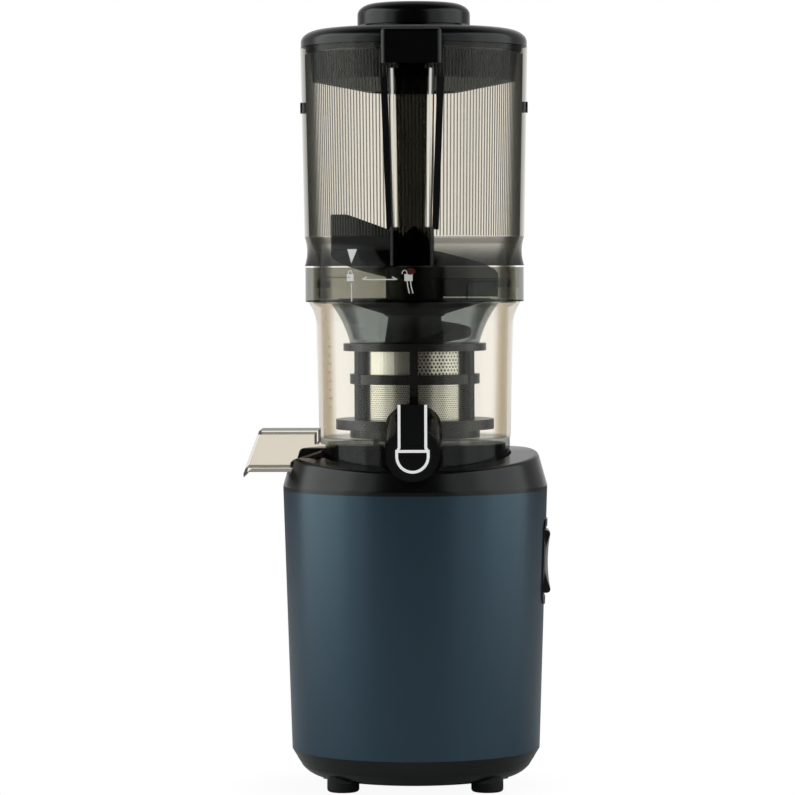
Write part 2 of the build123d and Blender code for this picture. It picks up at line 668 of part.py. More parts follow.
with BuildPart() as shaft_seal:
    ring(seal_bore, seal_outer, recess_z - CASE_WALL, recess_z + CASE_WALL / 2)
shaft_seal.part.label = "shaft_seal"

# =============================================================================================
# Motor and gearbox
# =============================================================================================
can_bore = MOTOR_RADIUS - CAN_WALL
bearing_bore = MOTOR_SHAFT_RADIUS + RUNNING_FIT
lower_bearing_z = motor_z + CAN_WALL
upper_bearing_z = gearbox_z - BEARING_WIDTH
with BuildPart() as motor_can:
    ring(bearing_bore + RUNNING_FIT, MOTOR_RADIUS, motor_z, motor_z + CAN_WALL)
    ring(can_bore, MOTOR_RADIUS, motor_z, end_cap_z)
    ring(BEARING_RADIUS, BEARING_RADIUS + CAN_WALL, lower_bearing_z, lower_bearing_z + BEARING_WIDTH)
    with BuildSketch(Plane.XY.offset(motor_z)) as can_vents:
        with PolarLocations(STATOR_BORE, VENT_COUNT // 2):
            SlotOverall(VENT_LENGTH, VENT_WIDTH)
    extrude(can_vents.sketch, amount=CAN_WALL, mode=Mode.SUBTRACT)
motor_can.part.label = "motor_can"

stator_z = motor_z + STATOR_RAISE
with BuildPart() as motor_stator:
    ring(STATOR_BORE, can_bore, stator_z, stator_z + STATOR_LENGTH)
motor_stator.part.label = "motor_stator"

with BuildPart() as motor_end_cap:
    ring(BEARING_RADIUS, MOTOR_RADIUS, end_cap_z, gearbox_z)
    ring(BEARING_RADIUS, BEARING_RADIUS + CASE_WALL, upper_bearing_z - CAN_WALL, end_cap_z)
    ring(bearing_bore + RUNNING_FIT, BEARING_RADIUS, upper_bearing_z - CAN_WALL, upper_bearing_z)
motor_end_cap.part.label = "motor_end_cap"

with BuildPart() as motor_bearings:
    for bottom in (lower_bearing_z, upper_bearing_z):
        ring(bearing_bore, BEARING_RADIUS, bottom, bottom + BEARING_WIDTH)
motor_bearings.part.label = "motor_bearings"

rotor_radius = STATOR_BORE - AIR_GAP
rotor_z = stator_z + (STATOR_LENGTH - ROTOR_LENGTH) / 2
fan_z = stator_z + STATOR_LENGTH + STAGE_GAP
with BuildPart() as rotor_shaft:
    post(MOTOR_SHAFT_RADIUS, motor_z, first_stage_z + FACE_WIDTH)
rotor_shaft.part.label = "rotor_shaft"

with BuildPart() as rotor_core:
    ring(MOTOR_SHAFT_RADIUS, rotor_radius, rotor_z, rotor_z + ROTOR_LENGTH)
rotor_core.part.label = "rotor_core"

with BuildPart() as cooling_fan:
    ring(MOTOR_SHAFT_RADIUS, MOTOR_SHAFT_RADIUS + CASE_WALL, fan_z, fan_z + FAN_HEIGHT)
    ring(MOTOR_SHAFT_RADIUS, FAN_RADIUS, fan_z, fan_z + CAN_WALL)
    with BuildSketch(Plane.XY.offset(fan_z)) as blades:
        with PolarLocations((FAN_RADIUS + MOTOR_SHAFT_RADIUS + RIB) / 2, FAN_BLADES):
            Rectangle(FAN_RADIUS - MOTOR_SHAFT_RADIUS - RIB, CAN_WALL)
    extrude(blades.sketch, amount=FAN_HEIGHT)
cooling_fan.part.label = "cooling_fan"

# A two-stage reverted train: motor pinion to the idler's wheel, idler's pinion to the output gear.
with BuildPart() as motor_pinion:
    toothed(gear_outline(PINION_TEETH, TRAIN_MODULE, 90.0), first_stage_z, first_stage_z + FACE_WIDTH)
    post(MOTOR_SHAFT_RADIUS, first_stage_z, first_stage_z + FACE_WIDTH, mode=Mode.SUBTRACT)
motor_pinion.part.label = "motor_pinion"

half_wheel_pitch = 180.0 / WHEEL_TEETH
idler_top_z = box_cover_z - BOX_CLEARANCE / 2
with BuildPart() as idler_gear:
    wheel = gear_outline(WHEEL_TEETH, TRAIN_MODULE, 270.0 + half_wheel_pitch)
    toothed(wheel, first_stage_z, first_stage_z + FACE_WIDTH, y=idler_y)
    pinion = gear_outline(PINION_TEETH, TRAIN_MODULE, 270.0)
    toothed(pinion, first_stage_z + FACE_WIDTH, idler_top_z, y=idler_y)
    post(IDLER_PIN_RADIUS + RUNNING_FIT, first_stage_z, idler_top_z, y=idler_y, mode=Mode.SUBTRACT)
idler_gear.part.label = "idler_gear"

with BuildPart() as idler_pin:
    post(IDLER_PIN_RADIUS, gearbox_z, box_top_z, y=idler_y)
idler_pin.part.label = "idler_pin"

with BuildPart() as output_gear:
    wheel = gear_outline(WHEEL_TEETH, TRAIN_MODULE, 90.0 + half_wheel_pitch)
    toothed(wheel, second_stage_z, second_stage_z + OUTPUT_FACE_WIDTH)
    post(DRIVE_SHAFT_RADIUS, second_stage_z, second_stage_z + OUTPUT_FACE_WIDTH, mode=Mode.SUBTRACT)
output_gear.part.label = "output_gear"

hex_z = recess_z + CASE_WALL
with BuildPart() as drive_shaft:
    post(DRIVE_SHAFT_RADIUS, second_stage_z, hex_z)
    with BuildSketch(Plane.XY.offset(hex_z)) as hexagon:
        RegularPolygon(HEX_FLATS / 2, 6, major_radius=False)
    extrude(hexagon.sketch, amount=HEX_HEIGHT)
    chamfer(drive_shaft.faces().sort_by(Axis.Z)[-1].edges(), RIB / 2)
drive_shaft.part.label = "drive_shaft"


def box_section(radius):
    """Outline of the gearbox: two circles and the tangents between them."""
    with BuildSketch() as section:
        with Locations((0, 0), (0, idler_y)):
            Circle(radius)
        make_hull()
    return section.sketch


def box_layer(radius, bottom, top, mode=Mode.ADD):
    extrude(box_section(radius).moved(Location((0, 0, bottom))), amount=top - bottom, mode=mode)


with BuildPart() as gearbox_housing:
    box_layer(box_outer, gearbox_z, box_cover_z)
    box_layer(box_inner, gearbox_z + BOX_WALL, box_cover_z, mode=Mode.SUBTRACT)
    for x, y in ear_points:
        inward = -1 if x > 0 else 1
        post(EAR_RADIUS, box_cover_z - EAR_THICKNESS, box_cover_z, x, y)
        low_x, high_x = sorted((x, x + inward * EAR_RADIUS))
        block((low_x, y - EAR_RADIUS, box_cover_z - EAR_THICKNESS), (high_x, y + EAR_RADIUS, box_cover_z))
        post(SCREW_RADIUS + SCREW_FIT, gearbox_z, box_cover_z, x, y, mode=Mode.SUBTRACT)
    box_layer(box_inner, gearbox_z + BOX_WALL, box_cover_z, mode=Mode.SUBTRACT)
    post(MOTOR_SHAFT_RADIUS + BOX_CLEARANCE, gearbox_z, gearbox_z + BOX_WALL, mode=Mode.SUBTRACT)
    post(IDLER_PIN_RADIUS, gearbox_z, gearbox_z + BOX_WALL, y=idler_y, mode=Mode.SUBTRACT)
gearbox_housing.part.label = "gearbox_housing"

bearing_seat_z = box_top_z + OUTPUT_BEARING_WIDTH
with BuildPart() as gearbox_cover:
    box_layer(box_outer, box_cover_z, box_top_z)
    for x, y in ear_points:
        inward = -1 if x > 0 else 1
        post(EAR_RADIUS, box_cover_z, box_top_z, x, y)
        low_x, high_x = sorted((x, x + inward * EAR_RADIUS))
        block((low_x, y - EAR_RADIUS, box_cover_z), (high_x, y + EAR_RADIUS, box_top_z))
        post(SCREW_RADIUS + SCREW_FIT, box_cover_z, box_top_z, x, y, mode=Mode.SUBTRACT)
    post(OUTPUT_BEARING_RADIUS + BOX_WALL, box_top_z, bearing_seat_z + BOX_WALL)
    post(OUTPUT_BEARING_RADIUS, box_cover_z, bearing_seat_z, mode=Mode.SUBTRACT)
    post(DRIVE_SHAFT_RADIUS + BOX_CLEARANCE, box_cover_z, bearing_seat_z + BOX_WALL, mode=Mode.SUBTRACT)
    post(IDLER_PIN_RADIUS, box_cover_z, box_top_z, y=idler_y, mode=Mode.SUBTRACT)
gearbox_cover.part.label = "gearbox_cover"

with BuildPart() as output_bearing:
    ring(DRIVE_SHAFT_RADIUS + RUNNING_FIT, OUTPUT_BEARING_RADIUS, box_cover_z + BOX_CLEARANCE, bearing_seat_z)
output_bearing.part.label = "output_bearing"

with BuildPart() as gearbox_screws:
    head_z = box_cover_z - EAR_THICKNESS
    for x, y in ear_points:
        post(SCREW_HEAD_RADIUS, head_z - SCREW_HEAD_HEIGHT, head_z, x, y)
        post(SCREW_RADIUS, head_z, box_top_z + BOX_SCREW_LENGTH - CASE_WALL, x, y)
gearbox_screws.part.label = "gearbox_screws"

# =============================================================================================
# Electrics
# =============================================================================================
board_z = housing_z + BOARD_RAISE
with BuildPart() as control_board:
    block((-BOARD_WIDTH / 2, board_front, board_z), (BOARD_WIDTH / 2, BOARD_BACK, board_z + BOARD_HEIGHT))
control_board.part.label = "control_board"

with BuildPart() as board_parts:
    low_z = board_z + CASE_WALL
    block((-RELAY[0] / 2, board_front - RELAY[1], low_z), (RELAY[0] / 2, board_front, low_z + RELAY[2]))
    top_z = board_z + BOARD_HEIGHT - CASE_WALL
    block(
        (-TERMINALS[0] / 2, board_front - TERMINALS[1], top_z - TERMINALS[2]),
        (TERMINALS[0] / 2, board_front, top_z),
    )
    with BuildSketch(Plane.XZ.offset(-board_front)) as can_section:
        with Locations((0, board_z + BOARD_HEIGHT / 2)):
            Circle(CAPACITOR[0])
    extrude(can_section.sketch, amount=CAPACITOR[1])
board_parts.part.label = "board_parts"

# Switch: the bezel follows the housing's taper and carries the rocker's pins.
with BuildPart() as switch_bezel:
    with BuildSketch(Plane.YZ.offset(BEZEL_BACK)) as bezel_section:
        with Locations((0, switch_z)):
            RectangleRounded(*BEZEL_SIZE, BEZEL_CORNER)
    extrude(bezel_section.sketch, amount=HOUSING_TOP_RADIUS)
    turned(
        (0, housing_z),
        (HOUSING_FOOT_RADIUS + BEZEL_PROUD, housing_z),
        (HOUSING_TOP_RADIUS + BEZEL_PROUD, cover_z),
        (0, cover_z),
        mode=Mode.INTERSECT,
    )
    pocket_low = (POCKET_FLOOR, -POCKET_SIZE[0] / 2, switch_z - POCKET_SIZE[1] / 2)
    pocket_high = (2 * HOUSING_TOP_RADIUS, POCKET_SIZE[0] / 2, switch_z + POCKET_SIZE[1] / 2)
    block(pocket_low, pocket_high, mode=Mode.SUBTRACT)
    with BuildSketch(Plane.XZ) as pin_holes:
        with Locations((ROCKER_PIVOT, switch_z)):
            Circle(ROCKER_PIN_RADIUS + RUNNING_FIT)
    hole_reach = ROCKER_WIDTH / 2 + ROCKER_PIN_LENGTH + SLIDE_GAP
    extrude(pin_holes.sketch, amount=hole_reach, both=True, mode=Mode.SUBTRACT)
switch_bezel.part.label = "switch_bezel"

with BuildPart() as switch_body:
    depth, width, height = SWITCH_BODY
    block(
        (BEZEL_BACK - depth, -width / 2, switch_z - height / 2),
        (BEZEL_BACK, width / 2, switch_z + height / 2),
    )
switch_body.part.label = "switch_body"


def rocker_face(length):
    """Dished face line of the rocker, over a length centred on the pivot."""
    chord = ROCKER_LENGTH / 2
    sphere = (chord**2 + ROCKER_DISH**2) / (2 * ROCKER_DISH)
    middle = ROCKER_REACH - ROCKER_DISH
    end = middle + sphere - sqrt(sphere**2 - (length / 2) ** 2)
    return ThreePointArc((end, switch_z - length / 2), (middle, switch_z), (end, switch_z + length / 2))


with BuildSketch(Plane.XZ) as inlay_profile:
    with BuildLine():
        front = rocker_face(INLAY_LENGTH)
        low_end, high_end = front @ 0 - (INLAY_END_DEPTH, 0), front @ 1 - (INLAY_END_DEPTH, 0)
        back = ThreePointArc(low_end, front @ 0.5 - (INLAY_DEPTH, 0), high_end)
        Line(front @ 0, back @ 0)
        Line(front @ 1, back @ 1)
    make_face()

with BuildPart() as rocker_inlay:
    extrude(inlay_profile.sketch, amount=ROCKER_WIDTH / 2, both=True)
rocker_inlay.part.label = "rocker_inlay"

with BuildPart() as switch_rocker:
    rocker_back = ROCKER_REACH - ROCKER_THICKNESS
    with BuildSketch(Plane.XZ) as rocker_profile:
        with BuildLine():
            face = rocker_face(ROCKER_LENGTH)
            Polyline(
                face @ 0, (rocker_back, switch_z - ROCKER_LENGTH / 2),
                (rocker_back - ROCKER_DISH, switch_z), (rocker_back, switch_z + ROCKER_LENGTH / 2), face @ 1,
            )
        make_face()
        fillet(rocker_profile.vertices().sort_by(Axis.X)[-2:], ROCKER_EDGE)
        with Locations((ROCKER_PIVOT, switch_z)):
            Circle(ROCKER_HUB_RADIUS)
    extrude(rocker_profile.sketch, amount=ROCKER_WIDTH / 2, both=True)
    with BuildSketch(Plane.XZ) as rocker_pin:
        with Locations((ROCKER_PIVOT, switch_z)):
            Circle(ROCKER_PIN_RADIUS)
    extrude(rocker_pin.sketch, amount=ROCKER_WIDTH / 2 + ROCKER_PIN_LENGTH, both=True)
    extrude(inlay_profile.sketch, amount=ROCKER_WIDTH / 2, both=True, mode=Mode.SUBTRACT)
switch_rocker.part.label = "switch_rocker"

# =============================================================================================
# Juicing bowl
# =============================================================================================
floor_bottom_z = floor_z - BOWL_FLOOR_THICKNESS
skirt_z = recess_z + SLIDE_GAP
shoulder_z = floor_z + SHOULDER_RAISE
ring_foot_z = shoulder_z + SHOULDER_HEIGHT
skirt_bore = SKIRT_RADIUS - BOWL_WALL
hub_bottom_z = floor_bottom_z - HUB_DROP

# Bayonet levels and angles, shared by the bowl's grooves and the hopper's lugs.
bayonet_z = ledge_z + BAYONET_RAISE
neck_radius = RIM_BORE - NECK_GAP
lug_outer = neck_radius + LUG_PROUD
groove_outer = lug_outer + NECK_GAP

# The spout's axis falls towards the front and meets its mouth's middle there.
spout_fall = tan(radians(SPOUT_FALL))
mouth_z = floor_z + SPOUT_END_HEIGHT
spout_root_y = -(BOWL_FOOT_RADIUS - BOWL_WALL - SPOUT_HALF_HEIGHT)
spout_root_z = mouth_z + (SPOUT_END + spout_root_y) * spout_fall
spout_way = (0, -cos(radians(SPOUT_FALL)), -sin(radians(SPOUT_FALL)))
spout_plane = Plane(origin=(0, spout_root_y, spout_root_z), x_dir=(1, 0, 0), z_dir=spout_way)
spout_length = (SPOUT_END + spout_root_y) / cos(radians(SPOUT_FALL)) + SPOUT_HALF_HEIGHT


def bowl_shape(*inner):
    """Turn the bowl's outside, closed by an outline that runs in from its rim and down to its foot."""
    with BuildSketch(Plane.XZ) as profile:
        with BuildLine():
            wall = Polyline(
                (SKIRT_RADIUS, skirt_z),
                (SKIRT_RADIUS, floor_z),
                (BOWL_FOOT_RADIUS, floor_z + BOWL_WALL / 2),
                (BOWL_SHOULDER_RADIUS, shoulder_z),
            )
            shoulder = TangentArc(wall @ 1, (SHOULDER_TOP_RADIUS, ring_foot_z), tangent=wall % 1)
            ring_foot, ring_top = (BOWL_RING_RADIUS, ring_foot_z), (BOWL_RING_RADIUS, rim_z)
            Polyline(shoulder @ 1, ring_foot, ring_top, *inner, wall @ 0)
        make_face()
    revolve(profile.sketch, axis=Axis.Z)


# The bowl filled in, used to trim what meets its wall.
with BuildPart() as bowl_envelope:
    bowl_shape((0, rim_z), (0, skirt_z))

chute_half = CHUTE_WIDTH / 2
hole_middle = (PULP_HOLE_INNER + PULP_HOLE_OUTER) / 2


def pulp_sector(inner, outer, margin):
    """Plan of the pulp hole grown by margin: an arc-shaped slot about the drive axis, on the left."""
    half = PULP_HOLE_HALF_ANGLE + degrees(margin / hole_middle)
    with BuildSketch() as sector:
        with BuildLine():
            near = CenterArc((0, 0), inner - margin, 180 - half, 2 * half)
            far = CenterArc((0, 0), outer + margin, 180 - half, 2 * half)
            Line(near @ 0, far @ 0)
            Line(near @ 1, far @ 1)
        make_face()
    return sector.sketch


def pulp_layer(margin, bottom, top, mode):
    sector = pulp_sector(PULP_HOLE_INNER, PULP_HOLE_OUTER, margin)
    extrude(sector.moved(Location((0, 0, bottom))), amount=top - bottom, mode=mode)


seal_z = floor_z + BOWL_GEAR_RAISE - SEAL_HEIGHT
socket_z = recess_z + LUG_HEIGHT - 2 * SOCKET_WALL
strainer_z = floor_z + STRAINER_RAISE
planet_y = pitch_radius(SUN_TEETH + PLANET_TEETH, BOWL_MODULE)
with BuildPart() as juicing_bowl:
    bowl_shape(
        (RIM_BORE, rim_z),
        (RIM_BORE, ledge_z),
        (BOWL_SHOULDER_RADIUS - BOWL_WALL, ledge_z - BOWL_WALL),
        (BOWL_FOOT_RADIUS - BOWL_WALL, floor_z),
        (0, floor_z),
        (0, floor_bottom_z),
        (skirt_bore, floor_bottom_z),
        (skirt_bore, skirt_z),
    )
    rib_middle = skirt_bore - SKIRT_RIB_DEPTH / 2 + BOWL_WALL / 2
    with BuildSketch(Plane.XY.offset(floor_bottom_z)) as ribs:
        with PolarLocations(rib_middle, SKIRT_RIBS):
            Rectangle(SKIRT_RIB_DEPTH + BOWL_WALL, RIB / 2)
    extrude(ribs.sketch, amount=-(floor_bottom_z - chute_bottom_z))
    post(HUB_RADIUS, hub_bottom_z, floor_z + BOWL_GEAR_RAISE - SLIDE_GAP)
    post(JOURNAL_RADIUS + RUNNING_FIT, hub_bottom_z, floor_z + BOWL_GEAR_RAISE, mode=Mode.SUBTRACT)
    post(SEAL_RADIUS - SLIDE_GAP, seal_z, floor_z + BOWL_GEAR_RAISE, mode=Mode.SUBTRACT)
    for angle in LUG_ANGLES:
        lug_x, lug_y = LUG_CIRCLE * cos(radians(angle)), LUG_CIRCLE * sin(radians(angle))
        post(LUG_RADIUS + SOCKET_GAP + SOCKET_WALL, socket_z, floor_bottom_z, lug_x, lug_y)
        post(LUG_RADIUS + SOCKET_GAP, socket_z, floor_bottom_z, lug_x, lug_y, mode=Mode.SUBTRACT)
    post(PLANET_PIN_RADIUS, floor_bottom_z, floor_z + BOWL_GEAR_RAISE + BOWL_GEAR_WIDTH, y=planet_y)
    # Under-floor channel and window for the pulp chute, and the pulp hole with its upstand.
    block(
        (-2 * SKIRT_RADIUS, -chute_half, chute_bottom_z),
        (-HUB_RADIUS, chute_half, floor_bottom_z),
        mode=Mode.SUBTRACT,
    )
    pulp_layer(UPSTAND_WALL, floor_bottom_z, strainer_z - SLIDE_GAP, Mode.ADD)
    pulp_layer(0.0, floor_bottom_z, strainer_z, Mode.SUBTRACT)
    # Bayonet grooves inside the rim: a level run for the twist and an upright entry at its end.
    for lug in range(BAYONET_COUNT):
        start = 90 + 360 / BAYONET_COUNT * lug - BAYONET_ANGLE / 2
        entry_span = BAYONET_ANGLE + 2 * TWIST_SLACK
        for groove_start, groove_span, top in (
            (start - TWIST_SLACK, entry_span + TWIST, bayonet_z + BAYONET_HEIGHT + NECK_GAP),
            (start + TWIST - TWIST_SLACK, entry_span, rim_z),
        ):
            with BuildSketch(Plane.XY.offset(bayonet_z - NECK_GAP)) as groove:
                with BuildLine():
                    near = CenterArc((0, 0), RIM_BORE - GROOVE_OVERLAP, groove_start, groove_span)
                    far = CenterArc((0, 0), groove_outer, groove_start, groove_span)
                    Line(near @ 0, far @ 0)
                    Line(near @ 1, far @ 1)
                make_face()
            extrude(groove.sketch, amount=top - bayonet_z + NECK_GAP, mode=Mode.SUBTRACT)
    # Juice opening through the wall, above the floor only.
    with BuildSketch(spout_plane) as juice_way:
        Ellipse(SPOUT_HALF_WIDTH - SPOUT_WALL, SPOUT_HALF_HEIGHT - SPOUT_WALL)
    juice_cut = extrude(juice_way.sketch, amount=spout_length, mode=Mode.PRIVATE)
    above_floor = Box(
        4 * SPOUT_HALF_WIDTH, 2 * SKIRT_RADIUS, 4 * SPOUT_HALF_WIDTH,
        align=(Align.CENTER, Align.MAX, Align.MIN), mode=Mode.PRIVATE,
    )
    add(juice_cut & above_floor.moved(Location((0, 0, floor_z))), mode=Mode.SUBTRACT)
juicing_bowl.part.label = "juicing_bowl"

with BuildPart() as bowl_seal:
    seal_top_z = floor_z + BOWL_GEAR_RAISE - SLIDE_GAP
    ring(JOURNAL_RADIUS + RUNNING_FIT, SEAL_RADIUS - SLIDE_GAP, seal_z, seal_top_z)
bowl_seal.part.label = "bowl_seal"

# The bowl's outside above its floor, and the channel under the floor that the chute lies in.
with BuildPart() as above_channel:
    add(bowl_envelope.part)
    block(
        (-2 * SKIRT_RADIUS, -2 * chute_half, skirt_z),
        (2 * SKIRT_RADIUS, 2 * chute_half, floor_bottom_z),
        mode=Mode.SUBTRACT,
    )

# Pulp chute: a square tube under the floor that leaves the bowl on the left and ends in a slanted mouth.
chute_inner_half = chute_half - CHUTE_WALL
with BuildPart() as pulp_chute:
    with BuildSketch(Plane.XZ) as chute_profile:
        Polygon(
            (-HUB_RADIUS, chute_bottom_z),
            (-CHUTE_REACH, chute_bottom_z),
            (-CHUTE_REACH - CHUTE_LIP, chute_bottom_z - CHUTE_LIP_DROP),
            (-CHUTE_REACH - CHUTE_LIP, chute_bottom_z - CHUTE_LIP_DROP + CHUTE_WALL),
            (-CHUTE_REACH + CHUTE_SLANT, chute_top_z),
            (-BOWL_FOOT_RADIUS, chute_top_z),
            (-BOWL_FOOT_RADIUS, floor_bottom_z),
            (-HUB_RADIUS, floor_bottom_z),
            align=None,
        )
    extrude(chute_profile.sketch, amount=chute_half, both=True)
    with BuildSketch(Plane.XZ) as chute_bore:
        Polygon(
            (-HUB_RADIUS - CHUTE_WALL, chute_bottom_z + CHUTE_WALL),
            (-2 * CHUTE_REACH, chute_bottom_z + CHUTE_WALL),
            (-2 * CHUTE_REACH, chute_top_z - CHUTE_WALL),
            (-BOWL_FOOT_RADIUS - CHUTE_WALL, chute_top_z - CHUTE_WALL),
            (-BOWL_FOOT_RADIUS - CHUTE_WALL, floor_bottom_z),
            (-HUB_RADIUS - CHUTE_WALL, floor_bottom_z),
            align=None,
        )
    extrude(chute_bore.sketch, amount=chute_inner_half, both=True, mode=Mode.SUBTRACT)
    add(above_channel.part, mode=Mode.SUBTRACT)
    post(HUB_RADIUS, chute_bottom_z, floor_z, mode=Mode.SUBTRACT)
pulp_chute.part.label = "pulp_chute"

# Silicone packing that closes the chute's underside port.
with BuildPart() as pulp_packing:
    packing_z = chute_bottom_z + CHUTE_WALL
    with BuildSketch(Plane.XZ) as packing_profile:
        Polygon(
            (-PACKING_START, packing_z),
            (-PACKING_START - PACKING_LENGTH, packing_z),
            (-PACKING_START - PACKING_LENGTH, packing_z + PACKING_TIP),
            (-PACKING_START, packing_z + PACKING_HEIGHT),
            align=None,
        )
    extrude(packing_profile.sketch, amount=chute_inner_half - SLIDE_GAP, both=True)
pulp_packing.part.label = "pulp_packing"

# Juice spout: a round pipe that slopes down to the front, with two ears for the cap lever's pin.
lever_top_z = floor_z + LEVER_TOP
lever_bottom_z = floor_z + LEVER_BOTTOM
lever_pin_z = lever_top_z - LEVER_PIN_INSET
lever_pin_y = -(SPOUT_END + LEVER_PIN_RADIUS)
tongue_half = SPOUT_TONGUE_WIDTH / 2
with BuildPart() as juice_spout:
    with BuildSketch(spout_plane) as pipe:
        Ellipse(SPOUT_HALF_WIDTH, SPOUT_HALF_HEIGHT)
    extrude(pipe.sketch, amount=spout_length)
    side_shape(
        [
            (lever_pin_y, lever_pin_z - LEVER_HUB_RADIUS),
            (lever_pin_y, lever_pin_z + LEVER_HUB_RADIUS),
            (-SPOUT_END + SPOUT_HALF_HEIGHT, lever_pin_z + LEVER_HUB_RADIUS),
            (-SPOUT_END + SPOUT_HALF_HEIGHT, mouth_z + SPOUT_HALF_HEIGHT / 2),
            (-SPOUT_END, mouth_z + SPOUT_HALF_HEIGHT / 2),
            (-SPOUT_END, lever_pin_z - LEVER_HUB_RADIUS),
        ],
        tongue_half,
    )
    cross_pin(LEVER_HUB_RADIUS, tongue_half, lever_pin_y, lever_pin_z)
    block(
        (-2 * SPOUT_HALF_WIDTH, -2 * SPOUT_END, mouth_z - 3 * SPOUT_HALF_HEIGHT),
        (2 * SPOUT_HALF_WIDTH, -SPOUT_END, lever_pin_z - LEVER_HUB_RADIUS),
        mode=Mode.SUBTRACT,
    )
    with BuildSketch(spout_plane) as bore:
        Ellipse(SPOUT_HALF_WIDTH - SPOUT_WALL, SPOUT_HALF_HEIGHT - SPOUT_WALL)
    extrude(bore.sketch, amount=2 * spout_length, mode=Mode.SUBTRACT)
    cross_pin(LEVER_PIN_RADIUS, LEVER_WIDTH, lever_pin_y, lever_pin_z, mode=Mode.SUBTRACT)
    add(bowl_envelope.part, mode=Mode.SUBTRACT)
juice_spout.part.label = "juice_spout"

with BuildPart() as lever_pin:
    cross_pin(LEVER_PIN_RADIUS, LEVER_WIDTH / 2 - SLIDE_GAP, lever_pin_y, lever_pin_z)
lever_pin.part.label = "lever_pin"

# Spout cap: a seal, a round cap and a lever that swings it up about the pin at its top.
cap_y = -(SPOUT_END + SLIDE_GAP)


def front_disc(radius, start_y, thickness, mode=Mode.ADD):
    """A disc facing the front, centred on the spout's mouth."""
    with BuildSketch(Plane.XZ.offset(-start_y)) as section:
        with Locations((0, mouth_z)):
            Circle(radius)
    extrude(section.sketch, amount=thickness, mode=mode)


with BuildPart() as cap_seal:
    front_disc(CAP_RADIUS, cap_y, CAP_SEAL)
cap_seal.part.label = "cap_seal"

cap_front = cap_y - CAP_SEAL
lever_back = cap_front - CAP_THICKNESS
with BuildPart() as juice_cap:
    front_disc(CAP_RADIUS, cap_front, CAP_THICKNESS)
juice_cap.part.label = "juice_cap"


tab_top_z = lever_bottom_z + LEVER_TAB_HEIGHT
tab_middle_z = lever_bottom_z + LEVER_TAB_WIDTH / 2


def lever_plan(inset, tab_edge_z):
    """Front view of the lever, its sides set in by a margin: a straight stem over a wider round tab."""
    with BuildSketch(Plane.XZ.offset(-lever_back)) as plan:
        with Locations((0, (lever_top_z + tab_top_z) / 2)):
            Rectangle(LEVER_WIDTH - 2 * inset, lever_top_z - tab_top_z)
        with Locations((0, (tab_middle_z + tab_edge_z) / 2)):
            Rectangle(LEVER_TAB_WIDTH - 2 * inset, tab_edge_z - tab_middle_z)
        with Locations((0, tab_middle_z)):
            Circle(LEVER_TAB_WIDTH / 2 - inset)
    return plan.sketch


def lever_line(mode):
    """The bar that crosses the lever's face above its tab."""
    block(
        (-LEVER_WIDTH / 2, lever_back - LEVER_THICKNESS, tab_top_z - LEVER_TRIM),
        (LEVER_WIDTH / 2, lever_back, tab_top_z),
        mode=mode,
    )


with BuildPart() as cap_lever:
    extrude(lever_plan(LEVER_TRIM, tab_top_z - LEVER_TRIM), amount=LEVER_THICKNESS)
    lever_line(Mode.SUBTRACT)
    for side in (-1, 1):
        outer_x = side * (LEVER_WIDTH / 2 - LEVER_TRIM)
        inner_x = side * (tongue_half + SLIDE_GAP)
        low_x, high_x = sorted((outer_x, inner_x))
        with BuildSketch(Plane.YZ.offset(low_x)) as cheek:
            with Locations((lever_pin_y, lever_pin_z)):
                Circle(LEVER_HUB_RADIUS)
            with Locations(((lever_pin_y + lever_back) / 2, lever_pin_z)):
                Rectangle(lever_pin_y - lever_back, 2 * LEVER_HUB_RADIUS)
        extrude(cheek.sketch, amount=high_x - low_x)
    cross_pin(LEVER_PIN_RADIUS + RUNNING_FIT, LEVER_WIDTH, lever_pin_y, lever_pin_z, mode=Mode.SUBTRACT)
cap_lever.part.label = "cap_lever"

with BuildPart() as lever_trim:
    extrude(lever_plan(0.0, tab_top_z), amount=LEVER_THICKNESS)
    extrude(lever_plan(LEVER_TRIM, tab_top_z - LEVER_TRIM), amount=LEVER_THICKNESS, mode=Mode.SUBTRACT)
    lever_line(Mode.ADD)
lever_trim.part.label = "lever_trim"

# =============================================================================================
# Wiper, strainer and auger
# =============================================================================================
bowl_gear_z = floor_z + BOWL_GEAR_RAISE
bowl_gear_top_z = bowl_gear_z + BOWL_GEAR_WIDTH
ring_teeth = SUN_TEETH + 2 * PLANET_TEETH
wiper_z = floor_z + SLIDE_GAP
wiper_top_z = floor_z + WIPER_TOP_RAISE

with BuildPart() as wiper_pinion:
    planet = gear_outline(PLANET_TEETH, BOWL_MODULE, 270.0 + 180.0 / PLANET_TEETH)
    toothed(planet, bowl_gear_z - SLIDE_GAP, bowl_gear_top_z - SLIDE_GAP, y=planet_y)
    pin_bore = PLANET_PIN_RADIUS + RUNNING_FIT
    post(pin_bore, bowl_gear_z - SLIDE_GAP, bowl_gear_top_z, y=planet_y, mode=Mode.SUBTRACT)
wiper_pinion.part.label = "wiper_pinion"

